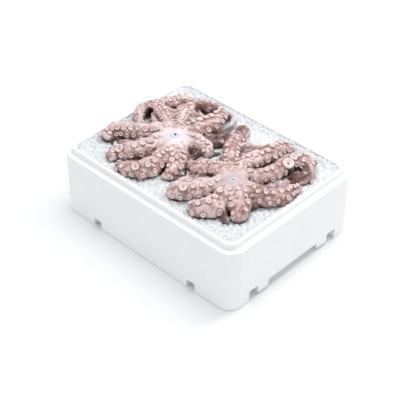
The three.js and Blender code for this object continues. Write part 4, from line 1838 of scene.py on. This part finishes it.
def fold(thick: float, tip: float, level: float, route: Route, flesh: Flesh = Flesh.SIDE) -> Arm:
    """A short level stretch of flesh, with no suckers, that shows between the arms; as SIDE flesh its dark
    colour is brown skin and partly painted shade of the gaps.

    Args:
        thick: Its radius at the start.
        tip: Its radius at the end.
        level: The height of its centre line.
        route: Its course in plan.
        flesh: Its kind of flesh.

    Returns:
        It as an arm.
    """
    return Arm(thick, tip, 30, route, dive=0, crown=level, rest=level, loose=True, flesh=flesh)


def left_octopus() -> Octopus:
    """The octopus at the box's -X end.

    Returns:
        The octopus with its arms and dents.
    """
    arms = (
        Arm(17, 10, 62,
            ((-103, -8), (-122, -22), (-140, -35), (-154, -45), (-165, -57), (-168, -69), (-161, -80)),
            rest=130.8, web=0.95, sag=9, spread=22, sucker=0.31),
        Arm(17, 12, 51, ((-82, -21), (-86, -45), (-94, -66), (-106, -83), (-120, -95), (-116, -108)),
            big=(Big(0.79, -1, 7.2),), web=0.9, spread=29, sucker=0.34),
        Arm(17.5, 10, 58,
            ((-52, -33), (-47, -58), (-44, -82), (-50, -101), (-66, -111), (-82, -116), (-95, -110)),
            big=(Big(0.68, -1, 7.0),), web=0.8, ruddy=0.5, spread=26, sucker=0.31),
        Arm(15, 9.5, 46, ((-42, -19), (-31, -36), (-21, -54), (-14, -71), (-11, -84)),
            web=0.3, ruddy=0.5, sucker=0.31),
        Arm(13.5, 11, 50, ((-54, 16), (-36, 20), (-18, 21), (-7, 9)), web=0.95, spread=30, sucker=0.31),
        Arm(18.7, 12, 40, ((-69, 32), (-62, 49), (-58, 70), (-62, 95), (-70, 117)),
            rest=127.8, crown=132.8, web=0.7, rise=0.35, sag=2, ruddy=0.75, sucker=0.3),
        Arm(12.8, 8.5, 28, ((-98, 39), (-109, 67), (-114, 87), (-103, 100), (-91, 110), (-77, 114)),
            rest=134, twist_from=0.45, twist=110, web=0.75, rise=0.5, sag=1, sucker=0.33),
        Arm(12, 9.4, 30, ((-108, 17), (-137, 31), (-157, 38), (-168, 38)), rest=137, web=0.5, sucker=0.32),
        Arm(10, 8.5, -40, ((-158, 38), (-169, 33), (-171, 20), (-165, 3), (-148, -14)),
            dive=0, crown=137, rest=137, loose=True, sucker=0.3),
        Arm(11.5, 9.5, -10, ((-155, 40), (-155, 54), (-148, 66), (-142, 78), (-132, 89), (-118, 84)),
            dive=0, crown=135, rest=135, loose=True, sucker=0.3),
        Arm(5.2, 2.0, 30, ((-69, 113), (-53, 119), (-38, 111), (-31, 94), (-33, 84)),
            dive=2, crown=131, rest=131, loose=True, flesh=Flesh.TIP),
        fold(12, 9.5, 119, ((-46, 41), (-32, 48), (-26, 64), (-28, 83))),
        fold(10.5, 8.5, 123, ((-42, 34), (-27, 38), (-16, 46), (-19, 58))),
        fold(8, 6.5, 118.5, ((-26, -30), (-15, -46), (-5, -60), (-1, -76))),
        fold(7.5, 7.5, 131.0, ((-120, 58), (-127, 68), (-131, 80)), Flesh.WEB),
        fold(7.5, 7.5, 129.0, ((-147, 24), (-139, 17), (-129, 11)), Flesh.WEB),
        fold(6.5, 6.5, 116.5, ((-167, 26), (-158, 22))),
        fold(6, 6, 117.5, ((-5, 16), (-1, 24), (1, 32))),
        fold(5.5, 5.5, 117.5, ((-12, -42), (-4, -51), (2, -60))),
    )
    dents = (
        Dent((-27, -4), 9, 8, 1.0, 141.0), Dent((-12, -6), 11, 10, 1.0, 141.0),
        Dent((-160, 27), 10, 0, 0.85, 131.0), Dent((-145, 64), 9, 0, 0.8, 131.0),
    )
    return Octopus(
        "left_octopus", "octopus_left", (-61.0, -12.0), arms, seed=41, beak_turn=-30.0, dents=dents)


def right_octopus() -> Octopus:
    """The octopus at the box's +X end.

    Returns:
        The octopus with its arms and dents.
    """
    arms = (
        Arm(16.2, 12, 36, ((49, 8), (28, 33), (10, 58), (-1, 86), (-13, 107)),
            twist_from=0.5, twist=-100, web=0.55, rise=0.4, sag=2, ruddy=0.85, sucker=0.28),
        Arm(15.3, 11, 42, ((64, 22), (67, 45), (74, 68), (75, 97), (76, 118), (85, 111)),
            web=0.9, sucker=0.33),
        Arm(14.6, 12, 52,
            ((88, 5), (102, 18), (110.5, 38), (114, 60), (114, 83), (119, 101), (138, 101), (152, 84),
             (153, 68), (145, 58)),
            big=(Big(0.475, 0.26, 10.4), Big(0.575, 0.9, 6.6)), twist_from=0.6, twist=95,
            web=0.5, ruddy=0.5, sucker=0.355),
        Arm(17, 10, 47, ((113, -21), (137, -20), (151, -10), (161, 6), (161, 30), (163, 46)),
            web=0.9, spread=25, ruddy=1.0, sucker=0.27),
        Arm(18.7, 14.5, 46, ((106, -38), (123, -54), (139, -70), (148, -79)),
            web=0.95, ruddy=0.8, sucker=0.28),
        Arm(18.7, 12, 46, ((91, -46), (99, -69), (101, -92), (90, -105), (75, -113)),
            rest=127.7, crown=132.9, web=0.95, ruddy=0.2, sucker=0.33),
        Arm(17.9, 16, 54, ((72, -38), (67, -62), (56, -78), (41, -92), (25, -105)),
            big=(Big(0.8, -1, 7.4),), web=1.0, rise=0.0, sag=3, spread=27, sucker=0.3),
        Arm(17, 12, 40, ((48, -15), (28, -22), (10, -30), (-4, -32)),
            web=0.75, spread=30, ruddy=0.4, sucker=0.21),
        Arm(4.2, 2.8, 34, ((62, 110), (59, 98), (53, 84), (44, 75), (35, 70), (27, 60)),
            dive=0, crown=134.0, rest=134.0, loose=True, ruddy=1.0, flesh=Flesh.TIP),
        fold(12, 9, 121, ((50, -44), (35, -59), (19, -70), (17, -86)), Flesh.WEB),
        fold(7.7, 6.8, 124, ((115, -71), (126, -88), (134, -97))),
        fold(12, 8.5, 126, ((123, -24), (139, -34), (146, -37))),
    )
    dents = (
        Dent((134, 62), 10, 4, 0.9, 139.0), Dent((140, -38), 13, 3, 0.6, 132.0),
        Dent((50, 73), 6, 2, 0.6, 127.0), Dent((152, 72), 18, 0, 0.28, 156.0),
        Dent((140, -16), 19, 0, 0.26, 156.0), Dent((96, -33), 24, 0, 0.15, 162.0),
    )
    return Octopus(
        "right_octopus", "octopus_right", (94.0, -35.0), arms, seed=58, beak_turn=60.0, paleness=0.3,
        mouth_size=0.68, dents=dents)


# ---------------------------------------------------------------- the crushed ice


@dataclass
class CrushedIce:
    """A lumpy bed of ice and the broken grains on it."""

    box: FoamBox
    octopuses: tuple[Octopus, ...]
    level: float = 119.6
    lump: float = 3.0
    wave_count: int = 26
    wave_rate: tuple[float, float] = (0.12, 0.75)
    edge_rise: float = 6.2
    edge_reach: float = 13.0
    clearance: float = 0.4
    pitch: float = 2.4
    sunk: float = 0.8
    bed_noise: float = 0.12
    grains: int = 7500
    grain_size: tuple[float, float] = (0.6, 1.7)
    front_size: float = 1.45
    back_loss: float = 0.65
    settled_over: tuple[float, float] = (-105.0, 20.0)
    hidden_share: float = 0.72
    seed: int = 977
    finish: IceFinish = field(default_factory=IceFinish)

    def __post_init__(self) -> None:
        """Works out the cavity's size and draws the waves of the bed."""
        self.half = np.array((self.box.length, self.box.width)) / 2 - self.box.wall - self.clearance
        self.random = np.random.default_rng(self.seed)
        self.waves = [
            (self.random.uniform(*self.wave_rate, 2) * self.random.choice((-1, 1), 2),
             self.random.uniform(0, PHASE))
            for _ in range(self.wave_count)
        ]
        self.covers = [(o.lattice, blurred((o.top_map() > 0).astype(float), 2.0)) for o in self.octopuses]

    def height(self, x: np.ndarray, y: np.ndarray) -> np.ndarray:
        """The bed's height in plan.

        Args:
            x: Positions along X.
            y: Positions along Y.

        Returns:
            The height at each position.
        """
        total = sum(np.sin(x * w[0] + y * w[1] + phase) for w, phase in self.waves) / 5.0
        wall = np.minimum(self.half[0] - np.abs(x), self.half[1] - np.abs(y))
        rise = self.edge_rise * (1 - smooth(0.0, self.edge_reach, wall))
        lying = self.under(x, y)
        lumps = self.lump * 0.6 * np.clip(total, -1.2, 1.2) * (1 - 0.6 * lying)
        return self.level + lumps + rise - self.sunk * lying

    def under(self, x: np.ndarray, y: np.ndarray) -> np.ndarray:
        """How far positions lie under an octopus.

        Args:
            x: Positions along X.
            y: Positions along Y.

        Returns:
            Shares from 0 to 1.
        """
        found = np.zeros(np.broadcast(x, y).shape)
        for lattice, cover in self.covers:
            i = np.rint((x - lattice.low[0]) / lattice.pitch).astype(int)
            j = np.rint((y - lattice.low[1]) / lattice.pitch).astype(int)
            inside = (i >= 0) & (j >= 0) & (i < cover.shape[0]) & (j < cover.shape[1])
            value = cover[np.clip(i, 0, cover.shape[0] - 1), np.clip(j, 0, cover.shape[1] - 1)]
            found = np.maximum(found, np.where(inside, value, 0.0))
        return found

    def squared(self, plan: np.ndarray, inset: float = 0.0) -> np.ndarray:
        """Draws plan positions into the cavity's rounded corners.

        Args:
            plan: Positions.
            inset: Extra distance from the walls.

        Returns:
            The moved positions.
        """
        radius = self.box.cavity_radius - self.clearance - inset
        core = self.half - inset - radius
        over = np.maximum(np.abs(plan) - core, 0)
        away = np.linalg.norm(over, axis=-1, keepdims=True)
        scale = np.where(away > radius, radius / np.maximum(away, 1e-9), 1.0)
        return np.sign(plan) * (np.minimum(np.abs(plan), core) + over * scale)

    def bed(self, material: bpy.types.Material) -> bpy.types.Object:
        """The closed bed.

        Args:
            material: Its finish.

        Returns:
            The dressed piece.
        """
        nx, ny = (2 * self.half / self.pitch).astype(int)
        lines = (np.linspace(-1, 1, n + 1) * half for n, half in zip((nx, ny), self.half))
        plan = self.squared(np.stack(np.meshgrid(*lines, indexing="ij"), axis=-1).reshape(-1, 2))
        noise = self.random.normal(0, self.bed_noise, len(plan))
        top = np.column_stack((plan, self.height(plan[:, 0], plan[:, 1]) + noise))
        number = np.arange(len(top)).reshape(nx + 1, ny + 1)
        corners = (number[:-1, :-1], number[1:, :-1], number[1:, 1:], number[:-1, 1:])
        faces = np.stack(corners, axis=-1).reshape(-1, 4).tolist()
        rim = np.concatenate((number[:-1, 0], number[-1, :-1], number[:0:-1, -1], number[0, :0:-1]))
        foot = np.column_stack((top[rim, :2], np.full(len(rim), self.box.floor + self.clearance)))
        below = len(top) + np.arange(len(rim))
        faces += np.column_stack((below, np.roll(below, -1), np.roll(rim, -1), rim)).tolist()
        faces.append(below[::-1].tolist())
        piece = mesh_piece("ice_bed", np.concatenate((top, foot)), faces)
        dress(piece, material)
        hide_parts("crushed_ice")
        return piece

    def broken(self, material: bpy.types.Material) -> bpy.types.Object:
        """The loose grains, as one mesh.

        Args:
            material: Their finish.

        Returns:
            The dressed piece.
        """
        ball = bmesh.new()
        bmesh.ops.create_icosphere(ball, subdivisions=1, radius=1.0)
        form = np.array([v.co[:] for v in ball.verts])
        skin = np.array([[v.index for v in f.verts] for f in ball.faces])
        ball.free()
        plan = self.random.uniform(-1, 1, (self.grains * 3, 2)) * (self.half - 2.0)
        plan = self.squared(plan, 2.0)
        hidden = self.under(plan[:, 0], plan[:, 1])
        plan = plan[hidden < self.hidden_share][:self.grains]
        count = len(plan)
        low, high = self.grain_size
        settled = smooth(*self.settled_over, plan[:, 1])
        fall = self.front_size - self.back_loss * settled
        size = (low + (high - low) * self.random.random(count) ** 1.8) * fall
        stretch = self.random.uniform(0.55, 1.15, (count, 1, 3)) * size[:, None, None]
        spin = np.linalg.qr(self.random.normal(size=(count, 3, 3)))[0]
        rough = 1 + self.random.uniform(-0.28, 0.22, (count, len(form), 1))
        grains = np.einsum("nvi,nij->nvj", form[None] * rough * stretch, spin)
        lift = (self.random.uniform(-0.9, -0.1, count) - 0.5 * settled) * size
        height = self.height(plan[:, 0], plan[:, 1]) + lift
        points = grains + np.column_stack((plan, height))[:, None, :]
        faces = skin[None] + (np.arange(count) * len(form))[:, None, None]
        piece = mesh_piece("ice_grains", points.reshape(-1, 3), faces.reshape(-1, 3), round_shading=False)
        dress(piece, material)
        return piece

    def build(self, effects: Effects) -> None:
        """Makes the bed and the grains.

        Args:
            effects: The shared node groups.
        """
        self.bed(self.finish.material(effects, "ice_bed"))
        self.broken(self.finish.material(effects, "ice_grains"))


# ---------------------------------------------------------------- the studio


@dataclass(frozen=True)
class Studio:
    """Floor, lights and camera."""

    azimuth: float = 44.02
    elevation: float = 38.85
    distance: float = 1887.2
    lens: float = 99.948
    target: tuple[float, float, float] = (13.98, -29.30, 59.67)
    floor_size: float = 6e3
    floor_level: float = -0.2
    sky_colour: Colour = (0.97, 0.985, 1.0)
    sky: float = 0.78
    top_power: float = 13.5
    glint_power: float = 4.0

    def camera(self) -> None:
        """Places the camera."""
        data = bpy.data.cameras.new("camera")
        data.sensor_width, data.sensor_fit, data.lens = 36.0, "HORIZONTAL", self.lens
        data.clip_start, data.clip_end = 0.05, 50.0
        eye = bpy.data.objects.new("camera", data)
        bpy.context.scene.collection.objects.link(eye)
        az, el = math.radians(self.azimuth), math.radians(self.elevation)
        back = Vector((math.sin(az) * math.cos(el), -math.cos(az) * math.cos(el), math.sin(el)))
        eye.location = (Vector(self.target) + back * self.distance) * MM
        eye.rotation_euler = back.to_track_quat("Z", "Y").to_euler()
        bpy.context.scene.camera = eye

    def panel(self, name: str, place: tuple[float, float, float], size: float, power: float) -> None:
        """A square soft light that faces the box.

        Args:
            name: Its name.
            place: Its place in metres.
            size: Its side in metres.
            power: Its power in watts.
        """
        data = bpy.data.lights.new(name, "AREA")
        data.shape, data.size, data.energy = "SQUARE", size, power
        lamp = bpy.data.objects.new(name, data)
        bpy.context.scene.collection.objects.link(lamp)
        lamp.location = place
        lamp.rotation_euler = (Vector(place) - Vector((0, 0, 0.1))).to_track_quat("Z", "Y").to_euler()

    def build(self) -> None:
        """Makes the floor, the sky, the lights and the camera."""
        corners = ((-1, -1), (1, -1), (1, 1), (-1, 1))
        points = [(x * self.floor_size, y * self.floor_size, self.floor_level) for x, y in corners]
        floor = mesh_piece("floor", np.array(points), [[0, 1, 2, 3]], round_shading=False)
        floor.data.materials.append(FloorFinish().material())
        world = bpy.data.worlds.new("sky")
        world.use_nodes = True
        sky = world.node_tree.nodes["Background"]
        sky.inputs["Color"].default_value = (*self.sky_colour, 1.0)
        sky.inputs["Strength"].default_value = self.sky
        bpy.context.scene.world = world
        bpy.context.scene.view_settings.view_transform = "Standard"
        self.panel("top_panel", (-0.10, 0.30, 1.9), 1.2, self.top_power)
        self.panel("glint_panel", (0.35, 0.75, 1.2), 0.25, self.glint_power)
        self.camera()


def main() -> None:
    """Builds and dresses every piece."""
    logging.basicConfig(level=logging.INFO, format="%(name)s %(message)s")
    effects = Effects.built()
    box = FoamBox()
    box.build(effects)
    finishes = OctopusFinishes.built(effects)
    octopuses = (left_octopus(), right_octopus())
    for octopus in octopuses:
        octopus.build(finishes)
    CrushedIce(box, octopuses).build(effects)
    Studio().build()
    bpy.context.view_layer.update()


if __name__ == "__main__":
    main()
